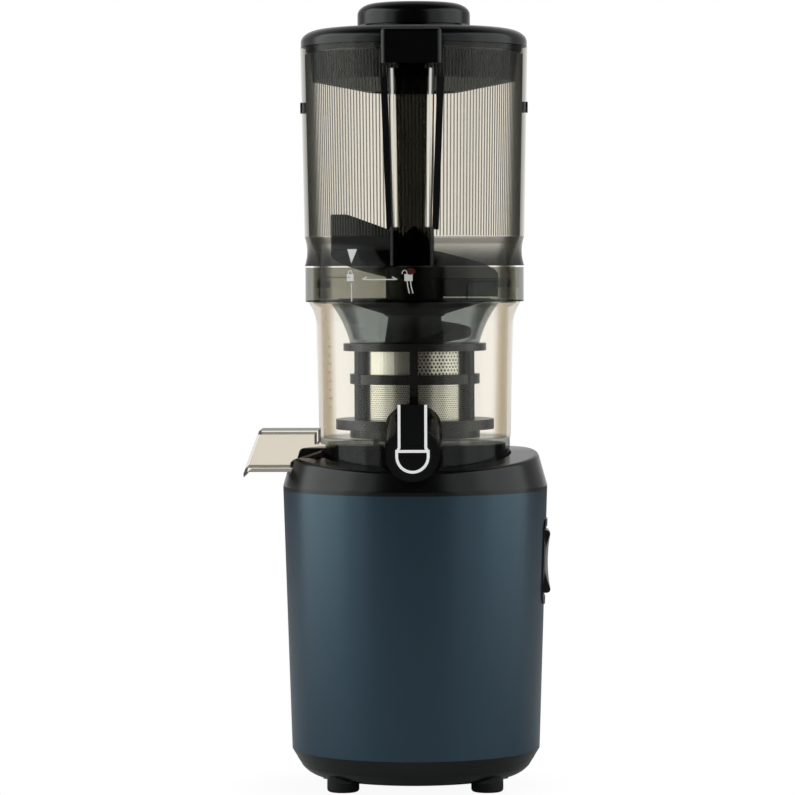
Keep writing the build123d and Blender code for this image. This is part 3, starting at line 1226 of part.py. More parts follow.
# Wiper frame: a foot with an internal ring gear, six posts and two more rings.
blade_inner = STRAINER_RADIUS + SLIDE_GAP
blade_middle = (blade_inner + POST_OUTER) / 2 - POST_WALL / 2
blade_depth = POST_OUTER - POST_WALL - blade_inner
with BuildPart() as wiper_frame:
    ring_top_z = bowl_gear_top_z + SLIDE_GAP
    foot_top_z = floor_z + WIPER_FOOT_HEIGHT
    turned(
        (0, wiper_z),
        (WIPER_RING_RADIUS, wiper_z),
        (WIPER_RING_RADIUS, foot_top_z - WIPER_FLANGE_HEIGHT),
        (WIPER_FOOT_RADIUS, foot_top_z - WIPER_FLANGE_HEIGHT),
        (WIPER_FOOT_RADIUS, foot_top_z),
        (WIPER_BORE, foot_top_z),
        (WIPER_BORE, ring_top_z),
        (0, ring_top_z),
    )
    spaces = gear_outline(
        ring_teeth, BOWL_MODULE, 90.0 + 180.0 / ring_teeth,
        addendum=GEAR_DEDENDUM, dedendum=GEAR_ADDENDUM, share=1 - TOOTH_SHARE,
    )
    toothed(spaces, wiper_z, ring_top_z, mode=Mode.SUBTRACT)
    for raise_by, height, radius in (
        (WIPER_MIDDLE_RAISE, WIPER_MIDDLE_HEIGHT, WIPER_RING_RADIUS),
        (WIPER_TOP_RAISE, WIPER_TOP_HEIGHT, WIPER_TOP_RADIUS),
    ):
        ring(WIPER_BORE, radius, floor_z + raise_by, floor_z + raise_by + height)
    with BuildSketch(Plane.XY.offset(foot_top_z - WIPER_FLANGE_HEIGHT / 2)) as posts:
        with PolarLocations((WIPER_BORE + POST_OUTER) / 2, WIPER_POSTS, start_angle=90):
            Rectangle(POST_OUTER - WIPER_BORE, POST_WIDTH)
    extrude(posts.sketch, amount=wiper_top_z - foot_top_z + WIPER_FLANGE_HEIGHT)
    with BuildSketch(Plane.XY.offset(foot_top_z)) as slots:
        with PolarLocations(blade_middle, WIPER_POSTS, start_angle=90):
            Rectangle(blade_depth, BLADE_THICKNESS)
    extrude(slots.sketch, amount=wiper_top_z - foot_top_z, mode=Mode.SUBTRACT)
wiper_frame.part.label = "wiper_frame"

with BuildPart() as wiper_blades:
    with BuildSketch(Plane.XY.offset(foot_top_z)) as strips:
        with PolarLocations(blade_middle, WIPER_POSTS, start_angle=90):
            Rectangle(blade_depth, BLADE_THICKNESS)
    extrude(strips.sketch, amount=wiper_top_z - foot_top_z)
wiper_blades.part.label = "wiper_blades"

# Strainer: a steel sheet drum on a moulded floor with its own pulp hole.
collar_z = floor_z + COLLAR_RAISE
strainer_bore = STRAINER_RADIUS - STRAINER_SHEET
with BuildPart() as strainer:
    ring(strainer_bore, STRAINER_RADIUS, strainer_z, collar_z)
    ring(STRAINER_BORE, STRAINER_RADIUS, strainer_z, strainer_z + STRAINER_FLOOR)
    pulp_layer(0.0, strainer_z, strainer_z + STRAINER_FLOOR, Mode.SUBTRACT)
strainer.part.label = "strainer"

flange_z = ledge_z + COLLAR_FLANGE
with BuildPart() as strainer_collar:
    with BuildSketch(Plane.XZ) as collar_profile:
        with BuildLine():
            foot, top = (COLLAR_FOOT_RADIUS, collar_z), (COLLAR_TOP_RADIUS, ledge_z)
            SagittaArc(foot, top, COLLAR_WAIST)
            flange_outer = RIM_BORE - NECK_GAP
            inner_top = (COLLAR_TOP_RADIUS - COLLAR_WALL, flange_z)
            Polyline(top, (flange_outer, ledge_z), (flange_outer, flange_z), inner_top)
            inner_foot = (COLLAR_FOOT_RADIUS - COLLAR_WALL, collar_z + COLLAR_WALL)
            SagittaArc(inner_top, inner_foot, -COLLAR_WAIST)
            inner_seat = (strainer_bore, collar_z + COLLAR_WALL)
            Polyline(inner_foot, inner_seat, (strainer_bore, collar_z), foot)
        make_face()
    revolve(collar_profile.sketch, axis=Axis.Z)
strainer_collar.part.label = "strainer_collar"

# Auger: a tapered core with a helical flight, a journal in the bowl's hub and a neck for its gear.
auger_z = strainer_z + STRAINER_FLOOR + SLIDE_GAP
auger_top_z = auger_z + AUGER_HEIGHT
flight_radius = strainer_bore - AUGER_CLEARANCE
journal_z = hub_bottom_z + SLIDE_GAP
neck_section = JOURNAL_RADIUS - RIB
with BuildPart() as auger:
    turned(
        (0, journal_z),
        (JOURNAL_RADIUS, journal_z),
        (JOURNAL_RADIUS, bowl_gear_z),
        (neck_section, bowl_gear_z),
        (neck_section, bowl_gear_top_z),
        (STRAINER_BORE - 2 * AUGER_CLEARANCE, bowl_gear_top_z),
        (STRAINER_BORE - 2 * AUGER_CLEARANCE, auger_z),
        (AUGER_FOOT_RADIUS, auger_z),
        (AUGER_TOP_RADIUS, auger_top_z),
        (0, auger_top_z),
    )
    flight_start_z = auger_z + FLIGHT_THICKNESS
    with BuildLine() as flight_path:
        Helix(
            pitch=FLIGHT_PITCH, height=AUGER_HEIGHT - 2 * FLIGHT_THICKNESS, radius=flight_radius,
            center=(0, 0, flight_start_z),
        )
    flight_inner = AUGER_TOP_RADIUS / 2
    flight_plane = Plane(origin=flight_path.line @ 0, x_dir=(1, 0, 0), z_dir=flight_path.line % 0)
    with BuildSketch(flight_plane) as flight:
        with Locations(((flight_inner - flight_radius) / 2, 0)):
            Rectangle(flight_radius - flight_inner, FLIGHT_THICKNESS)
    sweep(flight.sketch, path=flight_path.line, is_frenet=True)
    ring(flight_radius, 2 * flight_radius, journal_z, auger_top_z + FLIGHT_PITCH, mode=Mode.SUBTRACT)
    ring(0, flight_radius, auger_top_z, auger_top_z + FLIGHT_PITCH, mode=Mode.SUBTRACT)
    post(INSERT_RADIUS, journal_z, journal_z + HEX_HEIGHT, mode=Mode.SUBTRACT)
auger.part.label = "auger"

with BuildPart() as hex_socket:
    post(INSERT_RADIUS, journal_z, journal_z + HEX_HEIGHT)
    with BuildSketch(Plane.XY.offset(journal_z)) as socket:
        RegularPolygon(HEX_FLATS / 2 + HEX_GAP, 6, major_radius=False)
    extrude(socket.sketch, amount=HEX_HEIGHT, mode=Mode.SUBTRACT)
hex_socket.part.label = "hex_socket"

with BuildPart() as auger_gear:
    toothed(gear_outline(SUN_TEETH, BOWL_MODULE, 90.0), bowl_gear_z, bowl_gear_top_z)
    post(neck_section, bowl_gear_z, bowl_gear_top_z, mode=Mode.SUBTRACT)
auger_gear.part.label = "auger_gear"

# Cutting screw: a cone on the auger with one broad rising wing that draws the food down.
wing_top_z = floor_z + WING_TOP
with BuildPart() as cutting_screw:
    with BuildLine() as wing_path:
        Helix(
            pitch=WING_RISE * 360 / WING_TURN, height=WING_RISE, radius=WING_RADIUS,
            center=(0, 0, wing_top_z - WING_RISE - WING_DEPTH / 2),
        )
    wing_plane = Plane(origin=wing_path.line @ 0, x_dir=(1, 0, 0), z_dir=wing_path.line % 0)
    with BuildSketch(wing_plane) as wing:
        with Locations((-(WING_RADIUS - WING_ROOT) / 2, 0)):
            Rectangle(WING_RADIUS - WING_ROOT, WING_DEPTH)
    wing_solid = sweep(wing.sketch, path=wing_path.line, is_frenet=True, mode=Mode.PRIVATE)
    add(wing_solid.rotate(Axis.Z, WING_END - WING_TURN))
    with BuildSketch(Plane.XZ) as wing_cut:
        Polygon(
            (-WING_SLOPE[0], wing_top_z),
            (0, wing_top_z - WING_SLOPE[1]),
            (WING_RADIUS, wing_top_z - WING_SLOPE[1]),
            (WING_RADIUS, wing_top_z + WING_RISE),
            (-WING_SLOPE[0], wing_top_z + WING_RISE),
            align=None,
        )
    extrude(wing_cut.sketch, amount=2 * WING_RADIUS, both=True, mode=Mode.SUBTRACT)
    post(2 * WING_RADIUS, auger_z, flange_z + WING_CLEARANCE, mode=Mode.SUBTRACT)
    turned(
        (0, auger_top_z),
        (AUGER_TOP_RADIUS, auger_top_z),
        (SCREW_TIP_RADIUS, wing_top_z - SCREW_SHOULDER_DROP),
        (0, wing_top_z - SCREW_TIP_DROP),
    )
cutting_screw.part.label = "cutting_screw"

# =============================================================================================
# Hopper
# =============================================================================================
neck_bore = neck_radius - NECK_WALL
neck_z = flange_z + SLIDE_GAP


def waisted(*inner):
    """Turn the base ring's waisted outside, closed by an outline that runs in from its top to its foot."""
    waist = (HOPPER_FOOT_RADIUS - BASE_RING_WAIST, (ring_z + hopper_z) / 2)
    with BuildSketch(Plane.XZ) as profile:
        with BuildLine():
            outside = ThreePointArc((HOPPER_FOOT_RADIUS, ring_z), waist, (HOPPER_FOOT_RADIUS, hopper_z))
            Polyline(outside @ 1, *inner, outside @ 0)
        make_face()
    revolve(profile.sketch, axis=Axis.Z)


# Base ring: it carries the hopper, and its neck twists into the bowl's rim.
with BuildPart() as hopper_base:
    waisted(
        (HOPPER_FOOT_RADIUS - HOPPER_WALL, hopper_z),
        (neck_bore, ring_z + NECK_WALL),
        (neck_bore, neck_z),
        (neck_radius, neck_z),
        (neck_radius, ring_z),
    )
    for lug in range(BAYONET_COUNT):
        start = 90 + 360 / BAYONET_COUNT * lug - BAYONET_ANGLE / 2
        with BuildSketch(Plane.XY.offset(bayonet_z)) as lug_plan:
            with BuildLine():
                near = CenterArc((0, 0), neck_radius - NECK_WALL / 2, start, BAYONET_ANGLE)
                far = CenterArc((0, 0), lug_outer, start, BAYONET_ANGLE)
                Line(near @ 0, far @ 0)
                Line(near @ 1, far @ 1)
            make_face()
        extrude(lug_plan.sketch, amount=BAYONET_HEIGHT)
hopper_base.part.label = "hopper_base"

tube_outline = [
    (0, hopper_z),
    (HOPPER_FOOT_RADIUS, hopper_z),
    (HOPPER_RIM_RADIUS, hopper_rim_z),
    (0, hopper_rim_z),
]
with BuildPart() as hopper_envelope:
    waisted((0, hopper_z), (0, ring_z))
    turned(*tube_outline)

hinge_z = hopper_rim_z + HINGE_RAISE
plug_z = hopper_rim_z - SIDE_PLUG_BELOW_RIM
knuckle_gap = HINGE_KNUCKLE / 2 + SLIDE_GAP

# Hopper: a tapered clear tube with a bracket for the lid's hinge on the outside of its rear wall.
with BuildPart() as hopper:
    side_shape(
        [
            (HOPPER_FOOT_RADIUS, hopper_rim_z - HANDLE_ARM_HEIGHT),
            (HINGE_REACH + HINGE_HUB_RADIUS, hopper_rim_z - HINGE_HUB_RADIUS / 2),
            (HINGE_REACH + HINGE_HUB_RADIUS, hinge_z),
            (HINGE_REACH - HINGE_HUB_RADIUS, hinge_z),
            (HINGE_REACH - HINGE_HUB_RADIUS, hopper_rim_z),
            (HOPPER_FOOT_RADIUS, hopper_rim_z),
        ],
        HINGE_WIDTH / 2,
    )
    cross_pin(HINGE_HUB_RADIUS, HINGE_WIDTH / 2, HINGE_REACH, hinge_z)
    block(
        (-knuckle_gap, HINGE_REACH - HINGE_HUB_RADIUS - SLIDE_GAP, hinge_z - HINGE_HUB_RADIUS - SLIDE_GAP),
        (knuckle_gap, HINGE_REACH + 2 * HINGE_HUB_RADIUS, hinge_z + 2 * HINGE_HUB_RADIUS),
        mode=Mode.SUBTRACT,
    )
    cross_pin(HINGE_PIN_RADIUS, HINGE_WIDTH, HINGE_REACH, hinge_z, mode=Mode.SUBTRACT)
    turned(*tube_outline)
    turned(
        (0, hopper_z),
        (HOPPER_FOOT_RADIUS - HOPPER_WALL, hopper_z),
        (HOPPER_RIM_RADIUS - HOPPER_WALL, hopper_rim_z),
        (0, hopper_rim_z),
        mode=Mode.SUBTRACT,
    )
    with BuildSketch(Plane.YZ) as plug_holes:
        with Locations((0, plug_z)):
            Circle(SIDE_PLUG_RADIUS)
    extrude(plug_holes.sketch, amount=2 * HOPPER_RIM_RADIUS, both=True, mode=Mode.SUBTRACT)
hopper.part.label = "hopper"

with BuildPart() as side_plugs:
    hopper_flare = (HOPPER_RIM_RADIUS - HOPPER_FOOT_RADIUS) / HOPPER_HEIGHT
    plug_wall = HOPPER_FOOT_RADIUS + hopper_flare * (plug_z - hopper_z)
    for side in (-1, 1):
        start_x = side * (plug_wall - HOPPER_WALL)
        with BuildSketch(Plane.YZ.offset(start_x)) as plug_section:
            with Locations((0, plug_z)):
                Circle(SIDE_PLUG_RADIUS)
        extrude(plug_section.sketch, amount=side * (HOPPER_WALL + SIDE_PLUG_PROUD))
side_plugs.part.label = "side_plugs"

with BuildPart() as lid_hinge_pin:
    cross_pin(HINGE_PIN_RADIUS, HINGE_WIDTH / 2, HINGE_REACH, hinge_z)
lid_hinge_pin.part.label = "lid_hinge_pin"

# Handle: an upright grip before the hopper, an arm to the hopper's wall at its top, a block at its foot
# and a tongue above that carries the lid latch.
handle_top_z = hopper_rim_z - HANDLE_TOP_BELOW_RIM
handle_block_z = ring_z
grip_back = -(HANDLE_REACH - HANDLE_THICKNESS)
pivot_y, pivot_z = -LATCH_PIVOT[0], hopper_rim_z - LATCH_PIVOT[1]


def is_upright(edge):
    """True on edges that climb more than they run."""
    rise = edge @ 1 - edge @ 0
    return abs(rise.Z) > hypot(rise.X, rise.Y)


with BuildPart() as hopper_handle:
    with BuildSketch(Plane.XZ.offset(-grip_back)) as grip:
        Polygon(
            (-HANDLE_FOOT_WIDTH / 2, handle_block_z),
            (HANDLE_FOOT_WIDTH / 2, handle_block_z),
            (HANDLE_TOP_WIDTH / 2, handle_top_z),
            (-HANDLE_TOP_WIDTH / 2, handle_top_z),
            align=None,
        )
    extrude(grip.sketch, amount=HANDLE_THICKNESS)
    fillet(hopper_handle.edges().filter_by(is_upright), HANDLE_EDGE)
    arm_z = handle_top_z - HANDLE_ARM_HEIGHT
    arm_root_y = -HOPPER_FOOT_RADIUS / 2
    block(
        (-HANDLE_ARM_WIDTH / 2, grip_back - HANDLE_EDGE, arm_z),
        (HANDLE_ARM_WIDTH / 2, arm_root_y, handle_top_z),
    )
    with BuildSketch(Plane.XY.offset(handle_block_z)) as foot_block:
        with Locations((0, (arm_root_y - HANDLE_REACH) / 2)):
            RectangleRounded(HANDLE_BLOCK_WIDTH, arm_root_y + HANDLE_REACH, BLOCK_EDGE)
    extrude(foot_block.sketch, amount=HANDLE_BLOCK_HEIGHT)
    side_shape(
        [
            (pivot_y - TONGUE_THICKNESS / 2, arm_z),
            (pivot_y + TONGUE_THICKNESS / 2, arm_z),
            (pivot_y + TONGUE_THICKNESS / 2, pivot_z),
            (pivot_y - TONGUE_THICKNESS / 2, pivot_z),
        ],
        TONGUE_WIDTH / 2,
    )
    cross_pin(TONGUE_THICKNESS / 2, TONGUE_WIDTH / 2, pivot_y, pivot_z)
    cross_pin(LATCH_PIN_RADIUS, LATCH_WIDTH, pivot_y, pivot_z, mode=Mode.SUBTRACT)
    add(hopper_envelope.part, mode=Mode.SUBTRACT)
hopper_handle.part.label = "hopper_handle"

with BuildPart() as latch_pin:
    cross_pin(LATCH_PIN_RADIUS, LATCH_WIDTH / 2 - LATCH_WALL / 2, pivot_y, pivot_z)
latch_pin.part.label = "latch_pin"

latch_top_z = hopper_rim_z + LATCH_TOP_RAISE
latch_bottom_z = latch_top_z - LATCH_HEIGHT
with BuildPart() as lid_latch:
    block(
        (-LATCH_WIDTH / 2, -HANDLE_REACH, latch_bottom_z),
        (LATCH_WIDTH / 2, -LATCH_INNER_REACH, latch_top_z),
    )
    fillet(lid_latch.edges().filter_by(Axis.Z), BLOCK_EDGE)
    fillet(lid_latch.faces().sort_by(Axis.Z)[-1].edges(), LATCH_TOP_EDGE)
    block(
        (-TONGUE_WIDTH / 2 - SLIDE_GAP, -HANDLE_REACH + LATCH_WALL, latch_bottom_z),
        (TONGUE_WIDTH / 2 + SLIDE_GAP, -LATCH_INNER_REACH - LATCH_WALL, latch_top_z - LATCH_WALL),
        mode=Mode.SUBTRACT,
    )
    pin_half = LATCH_WIDTH / 2 - LATCH_WALL / 2
    cross_pin(LATCH_PIN_RADIUS + RUNNING_FIT, pin_half, pivot_y, pivot_z, mode=Mode.SUBTRACT)
lid_latch.part.label = "lid_latch"

# =============================================================================================
# Lid and feed cap
# =============================================================================================
with BuildPart() as lid:
    rounded_disc(LID_RADIUS, lid_z, lid_top_z, LID_EDGE)
    post(PLUG_RADIUS - PLUG_WALL, lid_z, lid_top_z - LID_PLATE, mode=Mode.SUBTRACT)
    block(
        (-HINGE_KNUCKLE / 2, PLUG_RADIUS, hinge_z - HINGE_HUB_RADIUS + HINGE_PIN_RADIUS),
        (HINGE_KNUCKLE / 2, HINGE_REACH, hinge_z + HINGE_HUB_RADIUS),
    )
    cross_pin(HINGE_HUB_RADIUS, HINGE_KNUCKLE / 2, HINGE_REACH, hinge_z)
    cross_pin(HINGE_PIN_RADIUS + RUNNING_FIT, HINGE_WIDTH, HINGE_REACH, hinge_z, mode=Mode.SUBTRACT)
    bracket_gap = SLIDE_GAP + HINGE_WIDTH / 2
    for side in (-1, 1):
        low_x, high_x = sorted((side * (HINGE_KNUCKLE / 2), side * bracket_gap))
        with BuildSketch(Plane.YZ.offset(low_x)) as relief:
            with Locations((HINGE_REACH, hinge_z)):
                Circle(HINGE_HUB_RADIUS + 2 * SLIDE_GAP)
        extrude(relief.sketch, amount=high_x - low_x, mode=Mode.SUBTRACT)
    post(FEED_BORE, lid_z, lid_top_z, mode=Mode.SUBTRACT)
lid.part.label = "lid"

plug_foot_z = lid_z - PLUG_DEPTH
dome_z = plug_foot_z - PLUG_DOME
tube_outer = FEED_BORE + PLUG_WALL
with BuildPart() as lid_plug:
    turned(
        (FEED_BORE, dome_z),
        (tube_outer, dome_z),
        (PLUG_FOOT_RADIUS, plug_foot_z),
        (PLUG_RADIUS, lid_z - LID_SEAL_HEIGHT),
        (PLUG_RADIUS, lid_z),
        (PLUG_RADIUS - PLUG_WALL, lid_z),
        (PLUG_FOOT_RADIUS - PLUG_WALL, plug_foot_z + PLUG_WALL),
        (tube_outer, dome_z + PLUG_WALL),
        (tube_outer, lid_top_z - LID_PLATE),
        (FEED_BORE, lid_top_z - LID_PLATE),
    )
lid_plug.part.label = "lid_plug"

with BuildPart() as lid_seal:
    ring(PLUG_RADIUS, LID_SEAL_RADIUS, lid_z - LID_SEAL_HEIGHT, lid_z)
lid_seal.part.label = "lid_seal"

cap_neck_z = lid_top_z + SLIDE_GAP
knob_z = lid_top_z + CAP_NECK_HEIGHT
stem_z = cap_neck_z - CAP_STEM_DEPTH
with BuildPart() as feed_cap:
    rounded_disc(CAP_KNOB_RADIUS, knob_z, knob_z + CAP_KNOB_HEIGHT, CAP_KNOB_EDGE)
    post(CAP_NECK_RADIUS, cap_neck_z, knob_z)
    post(FEED_BORE - CAP_STEM_GAP, stem_z, cap_neck_z)
    post(FEED_BORE - CAP_STEM_GAP - PLUG_WALL, stem_z, knob_z, mode=Mode.SUBTRACT)
feed_cap.part.label = "feed_cap"

# =============================================================================================
# The footprint's box is centred on the origin, so the drive axis stands off it.
# =============================================================================================
left_reach = CHUTE_REACH + CHUTE_LIP
right_reach = switch_rocker.part.bounding_box().max.X
rear_reach = HOUSING_TOP_RADIUS
front_reach = HANDLE_REACH
machine_place = Location(((left_reach - right_reach) / 2, (front_reach - rear_reach) / 2, 0))

pieces = (
    bottom_cover, rubber_feet, foot_screws, base_housing, cover_screws, cord_inlet, top_cover, shaft_seal,
    motor_can, motor_stator, motor_end_cap, motor_bearings, rotor_shaft, rotor_core, cooling_fan,
    motor_pinion, idler_gear, idler_pin, output_gear, drive_shaft,
    gearbox_housing, gearbox_cover, output_bearing, gearbox_screws,
    control_board, board_parts, switch_bezel, switch_body, rocker_inlay, switch_rocker,
    juicing_bowl, bowl_seal, pulp_chute, pulp_packing, juice_spout, lever_pin,
    cap_seal, juice_cap, cap_lever, lever_trim,
    wiper_pinion, wiper_frame, wiper_blades, strainer, strainer_collar,
    auger, hex_socket, auger_gear, cutting_screw,
    hopper_base, hopper, side_plugs, lid_hinge_pin, hopper_handle, latch_pin, lid_latch,
    lid, lid_plug, lid_seal, feed_cap,
)
os.makedirs("parts", exist_ok=True)
for piece in pieces:
    placed = piece.part.moved(machine_place)
    placed.label = piece.part.label
    export_step(placed, f"parts/{placed.label}.step")
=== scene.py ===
from math import cos, hypot, pi, radians, sin

import bpy
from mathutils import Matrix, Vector


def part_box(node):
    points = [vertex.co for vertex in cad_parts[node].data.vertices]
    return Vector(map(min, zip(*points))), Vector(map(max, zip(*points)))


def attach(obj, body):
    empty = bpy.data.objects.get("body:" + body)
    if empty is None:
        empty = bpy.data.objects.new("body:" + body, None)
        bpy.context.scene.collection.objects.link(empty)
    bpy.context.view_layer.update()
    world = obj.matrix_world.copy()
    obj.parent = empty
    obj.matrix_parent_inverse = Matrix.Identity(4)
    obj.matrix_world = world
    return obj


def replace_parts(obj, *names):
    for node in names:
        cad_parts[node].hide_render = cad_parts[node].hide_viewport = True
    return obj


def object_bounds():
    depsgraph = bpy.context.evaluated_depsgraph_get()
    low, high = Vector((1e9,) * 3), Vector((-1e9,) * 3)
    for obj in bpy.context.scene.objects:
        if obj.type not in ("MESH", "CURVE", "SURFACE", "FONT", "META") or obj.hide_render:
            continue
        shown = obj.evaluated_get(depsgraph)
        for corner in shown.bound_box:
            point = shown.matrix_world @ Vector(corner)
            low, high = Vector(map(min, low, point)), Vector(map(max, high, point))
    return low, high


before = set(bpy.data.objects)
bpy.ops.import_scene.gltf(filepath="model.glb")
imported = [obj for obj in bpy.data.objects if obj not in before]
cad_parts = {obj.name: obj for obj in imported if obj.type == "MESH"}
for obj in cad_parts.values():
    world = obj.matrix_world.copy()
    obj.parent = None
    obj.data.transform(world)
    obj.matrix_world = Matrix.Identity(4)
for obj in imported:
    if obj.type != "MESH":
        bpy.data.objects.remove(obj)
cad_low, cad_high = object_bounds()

# ---- camera ---------------------------------------------------------------------------------
# A long lens at two thirds of the machine's height, 2.5 m in front of the drive axis and a little to its
# right. Every round piece is turned about that axis, which is the middle of the housing's box.
housing_low, housing_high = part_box("base_housing")
axis_x = (housing_low.x + housing_high.x) / 2
axis_y = (housing_low.y + housing_high.y) / 2
camera_right, camera_distance, camera_below_top = 0.038, 2.458, 0.1704
camera_tilt, camera_roll, camera_turn = 90 - 1.952, 0.2, 1.142
lens = bpy.data.cameras.new("front_camera")
lens.sensor_width = 36.0
lens.lens = 172.08
front_camera = bpy.data.objects.new("front_camera", lens)
front_camera.location = (axis_x + camera_right, axis_y - camera_distance, cad_high.z - camera_below_top)
front_camera.rotation_euler = (radians(camera_tilt), radians(camera_roll), radians(camera_turn))
bpy.context.collection.objects.link(front_camera)
bpy.context.scene.camera = front_camera


# ---- studio ---------------------------------------------------------------------------------
# Two tall soft boxes stand on each side of the machine, so its round black and blue faces have a broad
# sheen on each side and a dark middle. The wall behind is white and the room in front is dim.
class Wire:
    """One output in a finish's node tree. Python's operators on it add Math nodes."""

    def __init__(self, finish, socket):
        self.finish = finish
        self.socket = socket

    def maths(self, operation, first, second):
        return self.finish.add("ShaderNodeMath", {"operation": operation}, {0: first, 1: second})

    def between(self, start, end):
        """0 below start, 1 above end and a smooth step from one to the other."""
        limits = {"Value": self, "From Min": start, "From Max": end}
        return self.finish.add("ShaderNodeMapRange", {"interpolation_type": "SMOOTHSTEP"}, limits)

    def or_more(self, other):
        return self.maths("MAXIMUM", self, other)

    def __add__(self, other):
        return self.maths("ADD", self, other)

    def __sub__(self, other):
        return self.maths("SUBTRACT", self, other)

    def __rsub__(self, other):
        return self.maths("SUBTRACT", other, self)

    def __mul__(self, other):
        return self.maths("MULTIPLY", self, other)

    def __truediv__(self, other):
        return self.maths("DIVIDE", self, other)

    def __pow__(self, other):
        return self.maths("POWER", self, other)

    def __abs__(self):
        return self.maths("ABSOLUTE", self, 0.0)

    def __gt__(self, other):
        return self.maths("GREATER_THAN", self, other)

    def __lt__(self, other):
        return self.maths("LESS_THAN", self, other)

    __radd__ = __add__
    __rmul__ = __mul__


class Finish:
    """A node tree that is filled by type, settings and socket values."""

    def __init__(self, owner, output_type="ShaderNodeOutputMaterial"):
        owner.use_nodes = True
        self.owner = owner
        self.tree = owner.node_tree
        self.tree.nodes.clear()
        self.output = self.tree.nodes.new(output_type)

    def add(self, kind, settings={}, sockets={}, out=0):
        """A node by its type, its settings, and the values or links of its sockets."""
        node = self.tree.nodes.new(kind)
        for name, value in settings.items():
            setattr(node, name, value)
        for key, value in sockets.items():
            if isinstance(value, Wire):
                self.tree.links.new(value.socket, node.inputs[key])
            else:
                node.inputs[key].default_value = value
        return Wire(self, node.outputs[out])

    def mix(self, share, first, second):
        """A mix of two shaders, with the share of the second."""
        return self.add("ShaderNodeMixShader", sockets={0: share, 1: first, 2: second})

    def surface(self, wire):
        self.tree.links.new(wire.socket, self.output.inputs["Surface"])
        return self.owner


def new_finish(name):
    return Finish(bpy.data.materials.new(name))


bpy.context.scene.view_settings.view_transform = "Standard"
bpy.context.scene.cycles.transparent_max_bounces = 64

white = (1, 1, 1, 1)
dim_light, wide_light, rear_light = 0.01, 0.32, 0.5
room = Finish(bpy.data.worlds.new("studio_room"), "ShaderNodeOutputWorld")
bpy.context.scene.world = room.owner
camera_ray = room.add("ShaderNodeLightPath", out="Is Camera Ray")
through_ray = room.add("ShaderNodeLightPath", out="Is Transmission Ray")
direction = room.add("ShaderNodeTexCoord", out="Generated")
toward_wall = room.add("ShaderNodeSeparateXYZ", sockets={0: direction}, out="Y")
wide_wall = wide_light * toward_wall.between(0.1, 0.85)
rear_wall = rear_light * toward_wall.between(0.85, 0.99)
wall_light = dim_light + wide_wall + rear_wall
seen_wall = room.add("ShaderNodeBackground", sockets={"Color": white, "Strength": 1.0})
lit_room = room.add("ShaderNodeBackground", sockets={"Color": white, "Strength": wall_light})
room.surface(room.mix(camera_ray + through_ray, lit_room, seen_wall))

box_distance = 1.6
box_height = 2.0
box_middle_z = 0.80
box_aim_z = 0.26


def soft_box(name, azimuth, width, watts):
    """A tall lamp that faces the machine. The azimuth is from the front, and positive to the right."""
    light = bpy.data.lights.new(name, "AREA")
    light.shape = "RECTANGLE"
    light.size, light.size_y = width, box_height
    light.energy = watts
    light.color = (0.94, 1.0, 0.985)
    lamp = bpy.data.objects.new(name, light)
    across, ahead = sin(radians(azimuth)), cos(radians(azimuth))
    lamp.location = (axis_x + box_distance * across, axis_y - box_distance * ahead, box_middle_z)
    aim = Vector((axis_x, axis_y, box_aim_z)) - lamp.location
    lamp.rotation_euler = aim.to_track_quat("-Z", "Y").to_euler()
    lamp.visible_camera = False
    bpy.context.collection.objects.link(lamp)


soft_box("left_wide_box", -79, 2.78, 12.2)
soft_box("left_bright_box", -88, 1.77, 10.0)
soft_box("right_wide_box", 74, 2.98, 11.2)
soft_box("right_bright_box", 88, 1.63, 5.6)

# The floor is white to the camera, and lets a little of the machine's shadow show near its feet.
floor_half = 6.0
shadow_share, shadow_near, shadow_far = 0.06, 0.05, 0.13
floor_finish = new_finish("pale_floor")
floor_lit = floor_finish.add("ShaderNodeBsdfDiffuse", sockets={"Color": (0.86, 0.86, 0.86, 1)})
floor_white = floor_finish.add("ShaderNodeEmission", sockets={"Color": white, "Strength": 1.0})
floor_place = floor_finish.add("ShaderNodeTexCoord", out="Object")
floor_distance = floor_finish.add(
    "ShaderNodeVectorMath", {"operation": "LENGTH"}, {0: floor_place}, out="Value",
)
floor_fade = 1 - shadow_share + shadow_share * floor_distance.between(shadow_near, shadow_far)
floor_share = floor_fade * floor_finish.add("ShaderNodeLightPath", out="Is Camera Ray")
floor_finish.surface(floor_finish.mix(floor_share, floor_lit, floor_white))
floor_mesh = bpy.data.meshes.new("floor")
floor_corners = [(x * floor_half, y * floor_half, 0) for x, y in ((-1, -1), (1, -1), (1, 1), (-1, 1))]
floor_mesh.from_pydata(floor_corners, [], [(0, 1, 2, 3)])
floor_mesh.materials.append(floor_finish.owner)
floor = bpy.data.objects.new("floor", floor_mesh)
bpy.context.collection.objects.link(floor)


# ---- motor housing --------------------------------------------------------------------------
# A round metal-look casing, moulded and then sprayed with a satin dark blue lacquer that has a very fine
# orange peel.
def grain(finish, scale):
    """Fine noise that is fixed to the piece."""
    place = finish.add("ShaderNodeTexCoord", out="Object")
    return finish.add("ShaderNodeTexNoise", sockets={"Vector": place, "Scale": scale, "Detail": 3.0})


smear_scale = 22.0
peel_strength = 0.35


